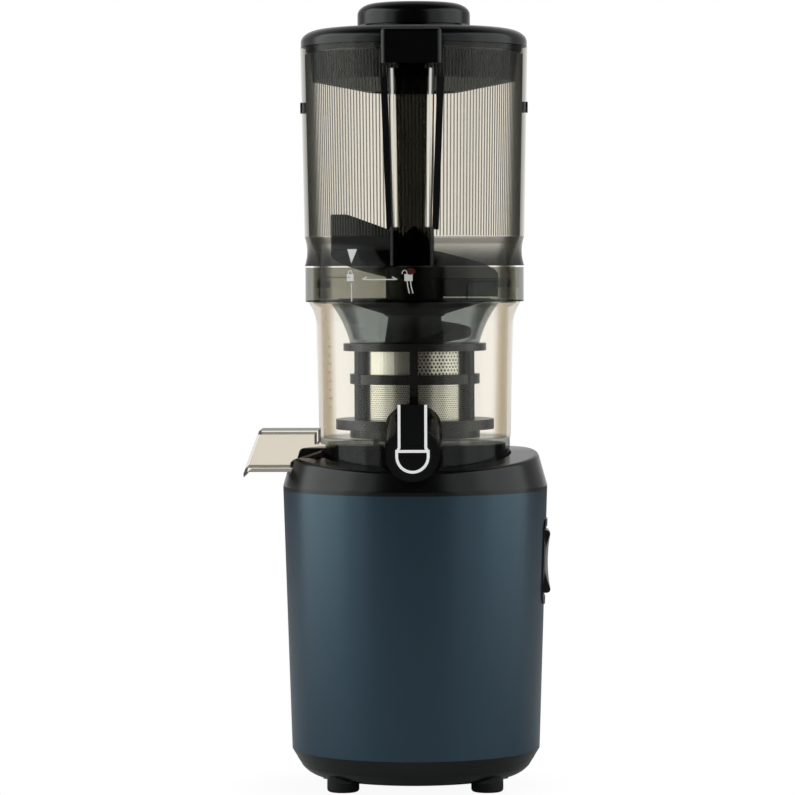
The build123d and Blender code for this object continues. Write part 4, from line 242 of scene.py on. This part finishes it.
def moulding(
    name, colour, roughness, rough_change=0.06, colour_change=0.12, peel=900.0, depth=0.00003, **others,
):
    """An opaque finish with a slight change of tone and gloss over it, and a fine surface texture."""
    finish = new_finish(name)
    smear = grain(finish, smear_scale)
    texture = grain(finish, peel)
    darker = tuple(value * (1 - colour_change) for value in colour)
    # Sockets 0, 6 and 7 of a colour Mix are its factor and its two colours, and output 2 is its colour.
    tones = {0: smear, 6: (*darker, 1), 7: (*colour, 1)}
    tone = finish.add("ShaderNodeMix", {"data_type": "RGBA"}, tones, out=2)
    bump = finish.add(
        "ShaderNodeBump", sockets={"Strength": peel_strength, "Distance": depth, "Height": texture},
    )
    gloss = roughness - rough_change / 2 + rough_change * smear
    sockets = {"Base Color": tone, "Roughness": gloss, "Normal": bump, **others}
    return finish.surface(finish.add("ShaderNodeBsdfPrincipled", sockets=sockets))


def give(material, *nodes):
    """Put a finish on CAD nodes."""
    for name in nodes:
        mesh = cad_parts[name].data
        mesh.materials.clear()
        mesh.materials.append(material)


blue_lacquer = moulding(
    "blue_lacquer", (0.003, 0.014, 0.034), 0.26, depth=0.00002,
    **{"IOR": 1.75, "Specular IOR Level": 0.8, "Specular Tint": (0.55, 0.82, 1.0, 1)},
)
give(blue_lacquer, "base_housing")

# ---- base mouldings -------------------------------------------------------------------------
# The bottom cover, the top cover and the cord's bush are moulded in black, with a satin surface.
# The feet are black rubber, and the screws under the base are plated steel.
black_satin = moulding("black_satin", (0.004, 0.004, 0.004), 0.24)
give(black_satin, "bottom_cover", "top_cover", "cord_inlet")
foot_rubber = moulding("foot_rubber", (0.012, 0.012, 0.012), 0.75, peel=1600.0, depth=0.00008)
give(foot_rubber, "rubber_feet")
steel = moulding("plated_steel", (0.56, 0.56, 0.54), 0.32, Metallic=1.0)
give(steel, "foot_screws", "cover_screws", "gearbox_screws", "motor_can", "motor_end_cap")

# ---- motor and gears ------------------------------------------------------------------------
# A long motor with an iron stator and rotor, a white acetal gear train in a grey box that is filled with
# glass fibre, and ground steel shafts, pins and bearings.
ground_steel = moulding("ground_steel", (0.68, 0.68, 0.67), 0.18, rough_change=0.03, Metallic=1.0)
give(ground_steel, "motor_bearings", "rotor_shaft", "motor_pinion", "idler_pin", "drive_shaft")
give(ground_steel, "output_bearing", "hex_socket", "lever_pin", "lid_hinge_pin", "latch_pin")
windings = moulding("iron_and_copper", (0.30, 0.16, 0.09), 0.45, colour_change=0.4, Metallic=0.7)
give(windings, "motor_stator", "rotor_core")
acetal = moulding("acetal", (0.74, 0.71, 0.62), 0.38)
give(acetal, "idler_gear", "output_gear", "wiper_pinion", "auger_gear")
grey_filled = moulding("glass_filled_grey", (0.12, 0.12, 0.125), 0.55, peel=700.0)
give(grey_filled, "gearbox_housing", "gearbox_cover", "cooling_fan")

# ---- board and switch -----------------------------------------------------------------------
# A green board with its parts stands inside the wall. The rocker is polished black with a bright inlay,
# in a polished black frame on the machine's right side.
board_green = moulding("board_green", (0.02, 0.12, 0.05), 0.42)
give(board_green, "control_board")
part_grey = moulding("part_grey", (0.16, 0.16, 0.17), 0.5)
give(part_grey, "board_parts", "switch_body")
black_gloss = moulding("black_gloss", (0.0035, 0.0035, 0.0035), 0.24, rough_change=0.04, depth=0.000006)
give(black_gloss, "switch_bezel", "switch_rocker")
chrome = moulding(
    "bright_chrome", (0.80, 0.80, 0.80), 0.08,
    rough_change=0.02, colour_change=0.03, depth=0.000004, Metallic=1.0,
)
give(chrome, "rocker_inlay")


# ---- juicing bowl ---------------------------------------------------------------------------
# A thick clear cup with a pale amber tint. Its floor, hub, chute and spout are of the same moulding. The
# wall is darkest on a line inside its silhouette, and its skirt and rim are smokier.
line_start, line_full, line_fade = 0.45, 0.58, 0.9


def clear_moulding(
    name, tint, line_tint, deep_tint=None, deep_share=None, painted_light_share=None, mirror=0.35, polish=0.02,
):
    """See-through plastic, with the deep tint at deep_share(finish) and a glowing painted highlight at
    painted_light_share(finish).
    """
    finish = new_finish(name)
    facing = finish.add("ShaderNodeLayerWeight", sockets={"Blend": 0.5}, out="Facing")
    through = finish.add("ShaderNodeBsdfTransparent", sockets={"Color": (*tint, 1)})
    line = finish.add("ShaderNodeBsdfTransparent", sockets={"Color": (*line_tint, 1)})
    edge_line = facing.between(line_start, line_full) * (1 - line_fade * facing.between(line_full, 1.0))
    body = finish.mix(edge_line, through, line)
    if deep_share:
        deep = finish.add("ShaderNodeBsdfTransparent", sockets={"Color": (*deep_tint, 1)})
        body = finish.mix(deep_share(finish), body, deep)
    if painted_light_share:
        # Emission: a painted highlight that glows with no lamp in it.
        painted_glow = finish.add("ShaderNodeEmission", sockets={"Color": (0.93, 0.92, 0.87, 1), "Strength": 0.85})
        body = finish.mix(painted_light_share(finish), body, painted_glow)
    sheen = finish.add("ShaderNodeBsdfGlossy", sockets={"Color": white, "Roughness": 0.10})
    gloss = polish + mirror * facing ** 5
    return finish.surface(finish.mix(gloss, body, sheen))


def place_along(finish, axis):
    """How far along X, Y or Z, in the machine's own frame."""
    place = finish.add("ShaderNodeTexCoord", out="Object")
    return finish.add("ShaderNodeSeparateXYZ", sockets={0: place}, out=axis)


def from_axis(finish):
    """Distance from the drive axis."""
    across = place_along(finish, "X") - axis_x
    ahead = place_along(finish, "Y") - axis_y
    return (across * across + ahead * ahead) ** 0.5


cup_depth, cup_ring_height = 0.110, 0.0217
ring_face = (0.0693, 0.0698)
cup_rim_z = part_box("juicing_bowl")[1].z
cup_floor_z = cup_rim_z - cup_depth
cup_ring_z = cup_rim_z - cup_ring_height


def skirt_and_ring(finish):
    """1 on the skirt under the floor and on the outer face of the rim's ring."""
    height = place_along(finish, "Z")
    outer_face = from_axis(finish).between(*ring_face)
    skirt = 1 - height.between(cup_floor_z - 0.001, cup_floor_z + 0.002)
    return skirt + outer_face * height.between(cup_ring_z - 0.0003, cup_ring_z + 0.0003)


bowl_clear = clear_moulding(
    "bowl_clear", (0.968, 0.953, 0.925), (0.84, 0.80, 0.73), (0.545, 0.555, 0.525), skirt_and_ring,
)
give(bowl_clear, "juicing_bowl")
dark_silicone = moulding("dark_silicone", (0.008, 0.0085, 0.008), 0.5)
give(dark_silicone, "shaft_seal", "bowl_seal", "pulp_packing", "cap_seal", "wiper_blades", "lid_seal")


# ---- chute and spout ------------------------------------------------------------------------
# The pulp chute and the juice spout are moulded with the bowl. Their edges look nearly black, because
# light runs along inside them.
def edge_on(finish):
    """0 where a wall is seen square on and 1 where it's seen along its face."""
    facing = finish.add("ShaderNodeLayerWeight", sockets={"Blend": 0.5}, out="Facing")
    return facing.between(0.35, 0.75)


chute_clear = clear_moulding(
    "chute_clear", (0.93, 0.91, 0.87), (0.30, 0.27, 0.22), (0.10, 0.09, 0.07), edge_on,
)
give(chute_clear, "pulp_chute", "juice_spout")

# ---- spout cap ------------------------------------------------------------------------------
# A round black cap is held on the spout's mouth by a polished lever. A pale trim runs round the lever's
# face, and it glows a little as a painted highlight.
give(black_gloss, "juice_cap", "cap_lever")
# The trim's emission is a painted highlight, in place of the lamps' glint on chrome.
trim_painted_glint = moulding(
    "trim_painted_glint", (0.90, 0.90, 0.89), 0.30, colour_change=0.02, depth=0.000004,
    **{"Emission Color": white, "Emission Strength": 0.45},
)
give(trim_painted_glint, "lever_trim")

# ---- wiper and collar -----------------------------------------------------------------------
# The wiper's cage is a black moulding with a satin sheen. The strainer's collar is a funnel of smoky grey
# see-through plastic.
cage_black = moulding("cage_black", (0.005, 0.0055, 0.005), 0.28)
give(cage_black, "wiper_frame")
collar_smoke = clear_moulding(
    "collar_smoke", (0.68, 0.71, 0.71), (0.45, 0.47, 0.47), mirror=0.2, polish=0.01,
)
give(collar_smoke, "strainer_collar")

# ---- strainer -------------------------------------------------------------------------------
# A drum of thin stainless sheet, rolled and welded. Staggered rows of holes are punched in it, fine ones
# below and coarse ones above, on part of the way round.
strainer_steel = moulding("strainer_steel", (0.86, 0.84, 0.76), 0.22, Metallic=0.9)


def on_drum(radius, angle, height):
    """A point round the drive axis. The angle is from the front, and positive to the right."""
    return axis_x + radius * sin(angle), axis_y - radius * cos(angle), height


class Piece:
    """Points and faces, gathered into one mesh object."""

    def __init__(self, name):
        self.name = name
        self.points = []
        self.faces = []
        self.marked = []

    def point(self, place):
        self.points.append(place)
        return len(self.points) - 1

    def face(self, *corners, mark=0):
        """The mark is the number of the face's finish."""
        self.faces.append(corners)
        self.marked.append(mark)

    def build(self, body, slot, *materials):
        """The object that rides on a body."""
        mesh = bpy.data.meshes.new(self.name)
        mesh.from_pydata(self.points, [], self.faces)
        mesh.validate()
        for material in materials:
            mesh.materials.append(material)
        for polygon, mark in zip(mesh.polygons, self.marked):
            polygon.material_index = mark
        piece = bpy.data.objects.new(self.name, mesh)
        bpy.context.collection.objects.link(piece)
        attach(piece, body)
        return piece


row_spacing = 0.87
sheet = 0.0006


def punched_band(piece, outer, low, high, turn, pitch, hole):
    """A curved sheet with six-sided holes in staggered rows, from the front and through turn."""
    columns = round(turn * outer / pitch)
    rows = round((high - low) / (row_spacing * pitch))
    step = turn / columns
    rise = (high - low) / rows
    corners = {}

    def corner(side, half_column, row):
        key = (side, half_column % (2 * columns) if turn == 2 * pi else half_column, row)
        if key not in corners:
            place = on_drum(outer - side * sheet, half_column * step / 2, low + row * rise)
            corners[key] = piece.point(place)
        return corners[key]

    for row in range(rows):
        for column in range(columns):
            left = 2 * column + row % 2
            middle_angle = (left + 1) * step / 2
            middle_height = low + (row + 0.5) * rise
            rims = []
            for side in (0, 1):
                cell = [
                    corner(side, left + along, row + up)
                    for along, up in ((1, 1), (0, 1), (0, 0), (1, 0), (2, 0), (2, 1))
                ]
                rim = []
                for count in range(6):
                    turned = radians(90 + 60 * count)
                    angle = middle_angle + hole / 2 * cos(turned) / outer
                    height = middle_height + hole / 2 * sin(turned)
                    rim.append(piece.point(on_drum(outer - side * sheet, angle, height)))
                for count in range(6):
                    ahead = (count + 1) % 6
                    quad = (cell[count], cell[ahead], rim[ahead], rim[count])
                    piece.face(*(quad if side == 0 else quad[::-1]))
                rims.append(rim)
            for count in range(6):
                ahead = (count + 1) % 6
                piece.face(rims[0][count], rims[0][ahead], rims[1][ahead], rims[1][count])


def ring_band(piece, outline, columns=96, start=0.0, turn=2 * pi):
    """Turn a closed outline of (radius, height) points, part of the way or all the way round."""
    whole = turn == 2 * pi
    rings = []
    for count in range(columns if whole else columns + 1):
        angle = start + turn * count / columns
        rings.append([piece.point(on_drum(radius, angle, height)) for radius, height in outline])
    for count in range(columns):
        here, there = rings[count], rings[(count + 1) % len(rings)]
        for index in range(len(outline)):
            ahead = (index + 1) % len(outline)
            piece.face(here[index], here[ahead], there[ahead], there[index])
    if not whole:
        piece.face(*rings[0][::-1])
        piece.face(*rings[-1])


def oblong(inner, outer, low, high):
    """The outline of a rectangle."""
    return [(inner, low), (outer, low), (outer, high), (inner, high)]


fine_pitch, fine_hole = 0.0015, 0.0009
coarse_pitch, coarse_hole = 0.0026, 0.0015
coarse_degrees = 75
hub_bore, floor_sheet = 0.0142, 0.002
hole_levels = (0.0115, 0.0342, 0.0408, 0.0562)
fine_low, fine_high, coarse_low, coarse_high = [cup_floor_z + level for level in hole_levels]
strainer_low, strainer_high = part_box("strainer")
outer_radius = (strainer_high.x - strainer_low.x) / 2
inner_radius = outer_radius - sheet
strainer = Piece("punched_strainer")
punched_band(strainer, outer_radius, fine_low, fine_high, 2 * pi, fine_pitch, fine_hole)
punched_band(
    strainer, outer_radius, coarse_low, coarse_high, radians(coarse_degrees), coarse_pitch, coarse_hole,
)
for low, high in ((strainer_low.z, fine_low), (fine_high, coarse_low), (coarse_high, strainer_high.z)):
    ring_band(strainer, oblong(inner_radius, outer_radius, low, high))
plain_part = oblong(inner_radius, outer_radius, coarse_low, coarse_high)
plain_start, plain_turn = radians(coarse_degrees), radians(360 - coarse_degrees)
ring_band(strainer, plain_part, columns=72, start=plain_start, turn=plain_turn)
ring_band(strainer, oblong(hub_bore, inner_radius, strainer_low.z, strainer_low.z + floor_sheet))
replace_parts(strainer.build("bowl", "bright_steel", strainer_steel), "strainer")

# ---- auger ----------------------------------------------------------------------------------
# The auger and the cutting screw are matt black mouldings. The screw is pushed onto the auger by a long
# sleeve, and a thin skirt flares from the sleeve's foot over the funnel.
auger_black = moulding("auger_black", (0.006, 0.006, 0.006), 0.42)
give(auger_black, "auger", "cutting_screw")
skirt_foot_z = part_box("auger")[1].z
sleeve_bore, sleeve_radius, flare_start, flare_knee, flare_edge = 0.0172, 0.0186, 0.0200, 0.0300, 0.0490
start_z, knee_low_z, knee_high_z = [skirt_foot_z + rise for rise in (0.0016, 0.0046, 0.0072)]
edge_low_z, edge_high_z = cup_ring_z + 0.0006, cup_ring_z + 0.0016
skirt = Piece("screw_skirt")
ring_band(skirt, [
    (sleeve_bore, skirt_foot_z), (sleeve_radius, skirt_foot_z), (flare_start, start_z),
    (flare_knee, knee_low_z), (flare_edge, edge_low_z), (flare_edge, edge_high_z),
    (flare_knee, knee_high_z), (sleeve_radius, knee_high_z), (sleeve_radius, cup_rim_z),
    (sleeve_bore, cup_rim_z),
])
skirt.build("auger", "auger_plastic", auger_black)

# ---- hopper ---------------------------------------------------------------------------------
# A tall cup of smoky clear plastic. Fine upright flutes run round the inside of its wall, between a plain
# rim and the ring that twists onto the bowl. The lid hinges on a bracket at its back.
smoky_clear = clear_moulding(
    "smoky_clear", (0.945, 0.93, 0.90), (0.48, 0.475, 0.455), mirror=0.25, polish=0.012,
)


def plain_tint(name, front, rear, haze):
    """See-through in one grey on the front half and another on the rear half. Haze is its milky share."""
    finish = new_finish(name)
    front_tint = finish.add("ShaderNodeBsdfTransparent", sockets={"Color": (*front, 1)})
    rear_tint = finish.add("ShaderNodeBsdfTransparent", sockets={"Color": (*rear, 1)})
    milk = finish.add("ShaderNodeBsdfDiffuse", sockets={"Color": (0.55, 0.56, 0.53, 1)})
    behind = place_along(finish, "Y") > axis_y
    return finish.surface(finish.mix(behind, finish.mix(haze, front_tint, milk), rear_tint))


flute_valley = plain_tint("flute_valley", (0.945, 0.93, 0.90), (0.945, 0.93, 0.90), 0.03)
flute_ridge = plain_tint("flute_ridge", (0.32, 0.31, 0.285), (0.82, 0.81, 0.78), 0.32)
tube_height = 0.1219
tube_foot_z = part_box("hopper")[0].z
tube_rim_z = tube_foot_z + tube_height
tube_foot_radius, tube_rim_radius = 0.0709, 0.0732
tube_wall = 0.0028
flutes = 192
flute_depth = 0.0004
# Each corner of a flute: its share of the pitch, its share of the depth, and the finish that follows it.
flute_corners = ((0.0, 0.0, 1), (0.62, 0.0, 2), (0.70, 1.0, 2), (0.92, 1.0, 2))
flute_foot_z = tube_foot_z + 0.0004
strip_z = tube_rim_z - 0.0039
flute_top_z = strip_z - 0.0006


def tube_radius(height):
    """Outer radius of the hopper's wall."""
    flare = tube_rim_radius - tube_foot_radius
    return tube_foot_radius + flare * (height - tube_foot_z) / (tube_rim_z - tube_foot_z)


hopper = Piece("fluted_hopper")
# The wall's outline, as (radius, height, whether it is fluted).
levels = [
    (tube_radius(tube_foot_z), tube_foot_z, 0),
    (tube_radius(tube_rim_z), tube_rim_z, 0),
    (tube_radius(tube_rim_z) - tube_wall, tube_rim_z, 0),
    (tube_radius(strip_z) - tube_wall, strip_z, 0),
    (tube_radius(strip_z) - tube_wall, flute_top_z, 1),
    (tube_radius(tube_foot_z) - tube_wall, flute_foot_z, 1),
    (tube_radius(tube_foot_z) - tube_wall, tube_foot_z, 0),
]
columns = []
for flute in range(flutes):
    for along, share, mark in flute_corners:
        angle = 2 * pi * (flute + along) / flutes
        column = []
        for radius, height, fluted in levels:
            column.append(hopper.point(on_drum(radius - fluted * share * flute_depth, angle, height)))
        columns.append((column, mark))
for count, (here, mark) in enumerate(columns):
    there = columns[(count + 1) % len(columns)][0]
    for index in range(len(levels)):
        ahead = (index + 1) % len(levels)
        fluted = levels[index][2] and levels[ahead][2]
        hopper.face(here[ahead], here[index], there[index], there[ahead], mark=mark if fluted else 0)


def side_prism(piece, outline, low_x, high_x):
    """Extrude a closed outline of (distance behind the axis, height) from one x to another."""
    sides = []
    for x in (low_x, high_x):
        sides.append([piece.point((axis_x + x, axis_y + behind, height)) for behind, height in outline])
    piece.face(*sides[0])
    piece.face(*sides[1][::-1])
    for index in range(len(outline)):
        ahead = (index + 1) % len(outline)
        piece.face(sides[0][ahead], sides[0][index], sides[1][index], sides[1][ahead])


# The bracket is a wedge on the rear wall, with a bored knuckle on each side of the lid's own knuckle.
bracket_half, knuckle_half, hinge_rise, lid_gap = 0.017, 0.0063, 0.0034, 0.0003
knuckle_reach, knuckle_radius, pin_radius = 0.0795, 0.005, 0.002
hinge_z = tube_rim_z + hinge_rise
seat_z = hinge_z - knuckle_radius - lid_gap
wedge_low_z, wedge_back_z = tube_rim_z - 0.014, tube_rim_z - 0.0025
wedge_root, wedge_back = tube_radius(seat_z) - 0.001, knuckle_reach + knuckle_radius
side_prism(hopper, [
    (wedge_root, wedge_low_z), (tube_radius(seat_z), wedge_low_z), (wedge_back, wedge_back_z),
    (wedge_back, seat_z), (wedge_root, seat_z),
], -bracket_half, bracket_half)
ring_steps = 24
for low_x, high_x in ((-bracket_half, -knuckle_half), (knuckle_half, bracket_half)):
    for step in range(ring_steps):
        start, end = [2 * pi * (step + share) / ring_steps for share in (0, 1)]
        ring_part = ((pin_radius, start), (knuckle_radius, start), (knuckle_radius, end), (pin_radius, end))
        side_prism(hopper, [
            (knuckle_reach + radius * cos(angle), hinge_z + radius * sin(angle))
            for radius, angle in ring_part
        ], low_x, high_x)
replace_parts(hopper.build("hopper", "smoky_clear", smoky_clear, flute_valley, flute_ridge), "hopper")

# ---- handle ---------------------------------------------------------------------------------
# A clear bar, fixed to the hopper at both ends. Its dark middle, its dark edges and its foot are painted
# shade, and the bright line on each side of the middle is a painted highlight that glows.
grip_foot_half, grip_top_half = 0.0119, 0.0145
grip_foot_z, grip_top_z = tube_foot_z + 0.0051, tube_rim_z - 0.0186
grip_face_y = axis_y - 0.1075
# Bands across the grip: painted shade in the middle, then painted highlight lines, then painted shade at
# the edges.
shaded_middle_edge, highlight_start, highlight_end, shaded_rim_start = (0.66, 0.72), (0.74, 0.82), (0.84, 0.92), (0.93, 0.98)
highlight_strength = 0.8


def grip_share(finish):
    """How far across the grip: 0 in its middle and 1 at its edges."""
    climb = (place_along(finish, "Z") - grip_foot_z) / (grip_top_z - grip_foot_z)
    half_width = grip_foot_half + (grip_top_half - grip_foot_half) * climb
    return abs(place_along(finish, "X") - axis_x) / half_width


def above_foot(finish):
    """0 on the grip's foot and 1 above it."""
    return place_along(finish, "Z").between(grip_foot_z - 0.0003, grip_foot_z + 0.0007)


def grip_painted_shade(finish):
    """1 where shade is painted: on the grip's middle, on its edges and on its foot."""
    share = grip_share(finish)
    shaded_middle = 1 - share.between(*shaded_middle_edge)
    return shaded_middle.or_more(share.between(*shaded_rim_start)).or_more(1 - above_foot(finish))


def grip_painted_highlight(finish):
    """The painted highlights, glowing lines on the front of the grip alone."""
    share = grip_share(finish)
    line = share.between(*highlight_start) * (1 - share.between(*highlight_end))
    return highlight_strength * line * above_foot(finish) * (place_along(finish, "Y") < grip_face_y)


# The handle's deep tint is painted shade, and its glow is a painted highlight.
handle_clear = clear_moulding(
    "handle_clear", (0.97, 0.96, 0.93), (0.6, 0.59, 0.55), (0.16, 0.155, 0.14), grip_painted_shade, grip_painted_highlight,
)
give(handle_clear, "hopper_handle")

# ---- base of the hopper ---------------------------------------------------------------------
# A waisted ring of smoky clear plastic, fixed under the hopper's cup, that twists into the bowl. The small
# plugs in the cup's sides and the latch on the handle are polished black mouldings.
waist_height = 0.0187
waist_face = (0.0662, 0.0668)
clear_at_top = 0.68


def base_ring(finish):
    """The outer face is smoky all over, and darker toward its foot."""
    height = place_along(finish, "Z")
    outer_face = from_axis(finish).between(*waist_face)
    return outer_face * (1 - clear_at_top * height.between(tube_foot_z - waist_height, tube_foot_z))


ring_clear = clear_moulding(
    "ring_clear", (0.955, 0.94, 0.91), (0.5, 0.49, 0.45), (0.19, 0.19, 0.18), base_ring,
)
give(ring_clear, "hopper_base")
give(black_gloss, "side_plugs", "lid_latch")


# ---- painted shade of the grip --------------------------------------------------------------
# Two dark strips lie on the hopper's wall behind the grip, one along each of its sides. They are painted
# shade:
# thin dark bands standing on the wall where the grip darkens the wall seen behind it.
wall_sink = 0.0004


def wall_ribbon(piece, path, width, proud, radius_at):
    """A raised band along a path of (angle, height) points on a round wall. Angles are in degrees."""
    radius = radius_at(path[0][1])
    across = []
    for index in range(len(path)):
        before, after = path[max(index - 1, 0)], path[min(index + 1, len(path) - 1)]
        run = radius * radians(after[0] - before[0])
        rise = after[1] - before[1]
        length = hypot(run, rise)
        across.append((-rise / length * width / 2, run / length * width / 2))
    rows = []
    for (angle, height), (aside, up) in zip(path, across):
        row = []
        for side, depth in ((-1, -wall_sink), (1, -wall_sink), (1, proud), (-1, proud)):
            turned = radians(angle) + side * aside / radius
            row.append(piece.point(on_drum(radius_at(height) + depth, turned, height + side * up)))
        rows.append(row)
    for here, there in zip(rows, rows[1:]):
        for index in range(4):
            ahead = (index + 1) % 4
            piece.face(here[index], here[ahead], there[ahead], there[index])
    piece.face(*rows[0][::-1])
    piece.face(*rows[-1])


shade_strip_width, shade_strip_proud = 0.0042, 0.0003
shade_strip_angle, shade_strip_lean = 11.6, 2.6
shade_strip_foot, shade_strip_length = 0.004, 0.096
shade_strip_steps = 12
# The two strips are painted shade of the grip, laid on the wall as thin black bands.
shade_strips = Piece("grip_shade_strips")
for side in (-1, 1):
    path = []
    for step in range(shade_strip_steps + 1):
        share = step / shade_strip_steps
        shade_strip_z = tube_foot_z + shade_strip_foot + shade_strip_length * share
        path.append((side * (shade_strip_angle + shade_strip_lean * share), shade_strip_z))
    wall_ribbon(shade_strips, path, shade_strip_width, shade_strip_proud, tube_radius)
shade_strips.build("hopper", "black_gloss", black_gloss)

# ---- marks of the bowl and the hopper -------------------------------------------------------
# Position marks stand a little proud of the bowl's rim and the hopper's base. The arrow, the padlocks and
# the pointers are printed in pale ink, and the outlines of the bayonet slots are moulded with the wall.
cup_ring_radius = 0.0705
waist_depth = 0.0016


def rim_wall(height):
    """Outer radius of the bowl's ring, which is the same at every height."""
    return cup_ring_radius


def waist_wall(height):
    """Outer radius of the hopper's waisted base ring."""
    half_height = waist_height / 2
    share = (height - tube_foot_z + half_height) / half_height
    return tube_foot_radius - waist_depth * (1 - share * share)


def wall_plate(piece, outline, proud, radius_at):
    """A raised flat shape with an outline of (angle, height) points."""
    layers = []
    for depth in (-wall_sink, proud):
        layer = []
        for angle, height in outline:
            layer.append(piece.point(on_drum(radius_at(height) + depth, radians(angle), height)))
        layers.append(layer)
    piece.face(*layers[0][::-1])
    piece.face(*layers[1])
    for index in range(len(outline)):
        ahead = (index + 1) % len(outline)
        piece.face(layers[0][index], layers[0][ahead], layers[1][ahead], layers[1][index])


def level_path(start, end, height):
    """Points at one height, about 3 degrees apart."""
    count = max(2, round(abs(end - start) / 3.0))
    return [(start + (end - start) * index / count, height) for index in range(count + 1)]


mark_proud = 0.00012
arrow_width, stroke_width, slot_width = 0.0007, 0.0006, 0.0005


def rim_line(piece, path, width):
    """A line on the bowl's ring. The heights in its path are above the ring's foot."""
    raised = [(angle, cup_ring_z + height) for angle, height in path]
    wall_ribbon(piece, raised, width, mark_proud, rim_wall)


marks = Piece("rim_marks")
rim_line(marks, level_path(-26.0, -9.0, 0.0141), arrow_width)
rim_line(marks, [(-27.1, 0.0141), (-24.6, 0.0157)], arrow_width)
rim_line(marks, [(-10.6, 0.0157), (-8.1, 0.0141)], arrow_width)
rim_line(marks, [(-2.95, 0.0135), (-2.6, 0.0098), (-1.8, 0.0053)], stroke_width)
rim_line(marks, [(-1.2, 0.0135), (-0.9, 0.0098), (0.1, 0.0053)], stroke_width)
slots = Piece("rim_slots")
rim_line(slots, level_path(-57.75, -34.4, 0.0156), slot_width)
rim_line(slots, [(-57.75, 0.0156), (-58.6, 0.0146), (-58.8, 0.002)], slot_width)
rim_line(slots, level_path(8.8, 54.8, 0.0144), slot_width)
rim_line(slots, level_path(30.4, 54.8, 0.0128), slot_width)
rim_line(slots, [(30.4, 0.0128), (28.9, 0.0118), (28.9, 0.001)], stroke_width)

# The padlock that means shut is upright, and the shackle of the one that means open leans over.
lock_half, lock_low, lock_high = 2.1, 0.0131, 0.0175
shackle_half, shackle_rise, shackle_steps = 1.3, 0.0024, 8
for middle, lean in ((-34.3, 0.0), (-2.2, -2.0)):
    lock = oblong(middle - lock_half, middle + lock_half, cup_ring_z + lock_low, cup_ring_z + lock_high)
    wall_plate(marks, lock, mark_proud, rim_wall)
    shackle = []
    for step in range(shackle_steps + 1):
        turn = pi * step / shackle_steps
        shackle_z = cup_ring_z + lock_high + shackle_rise * sin(turn)
        shackle.append((middle + lean - shackle_half * cos(turn), shackle_z))
    wall_ribbon(marks, shackle, slot_width, mark_proud, rim_wall)
rim_line(marks, [(-33.47, 0.0002), (-33.47, 0.0117)], stroke_width)

pointer_z, pointer_height, pointer_proud = tube_foot_z - 0.0081, 0.0088, 0.0002
pointer_outline = [(-36.74, pointer_z), (-33.63, pointer_z - pointer_height), (-30.64, pointer_z)]
pointer = Piece("hopper_pointer")
wall_plate(pointer, pointer_outline, pointer_proud, waist_wall)
# Pale printed ink, plus a little emission that paints extra light onto the print.
pale_ink_glowing = moulding(
    "pale_ink_glowing", (0.62, 0.63, 0.60), 0.5,
    **{"Emission Color": (0.9, 0.92, 0.9, 1), "Emission Strength": 0.28},
)
pointer.build("hopper", "bright_steel", pale_ink_glowing)
marks.build("bowl", "bright_steel", pale_ink_glowing)

red_ink = moulding("red_ink", (0.16, 0.02, 0.015), 0.4)
spot_angle, spot_height, spot_half, spot_rise, spot_steps = -1.2, 0.0191, 2.6, 0.0021, 16
spot_outline = []
for step in range(spot_steps):
    turn = 2 * pi * step / spot_steps
    spot_z = cup_ring_z + spot_height + spot_rise * sin(turn)
    spot_outline.append((spot_angle + spot_half * cos(turn), spot_z))
spot = Piece("red_spot")
wall_plate(spot, spot_outline, mark_proud, rim_wall)
spot.build("bowl", "silicone", red_ink)

seam_dark = clear_moulding("seam_dark", (0.35, 0.35, 0.33), (0.35, 0.35, 0.33))
seam_inner, seam_half = 0.0694, 0.0004
seam_outline = oblong(seam_inner, cup_ring_radius, cup_ring_z - seam_half, cup_ring_z + seam_half)
seam = Piece("rim_seam")
ring_band(seam, seam_outline, columns=128)
seam.build("bowl", "bowl_clear", seam_dark)
slots.build("bowl", "bowl_clear", seam_dark)

cup_foot_radius, cup_flare, cup_wall_height = 0.0621, 0.0017, 0.073


def cup_wall(height):
    """Outer radius of the cup, which widens upward."""
    return cup_foot_radius + cup_flare * (height - cup_floor_z) / cup_wall_height


ticks, first_tick, tick_pitch, tick_width = 9, 0.021, 0.0055, 0.0003
tick_start, short_tick, long_tick = -60.0, 2.0, 3.4
scale = Piece("volume_ticks")
for step in range(ticks):
    tick_z = cup_floor_z + first_tick + tick_pitch * step
    tick_end = tick_start + (long_tick if step % 2 else short_tick)
    wall_ribbon(scale, [(tick_start, tick_z), (tick_end, tick_z)], tick_width, mark_proud, cup_wall)
scale.build("bowl", "dark_moulding", seam_dark)

# ---- lid and feed cap -----------------------------------------------------------------------
# A polished black lid with a hollow plug that reaches down into the hopper. A round cap closes its feed
# hole.
give(black_gloss, "lid", "lid_plug", "feed_cap")
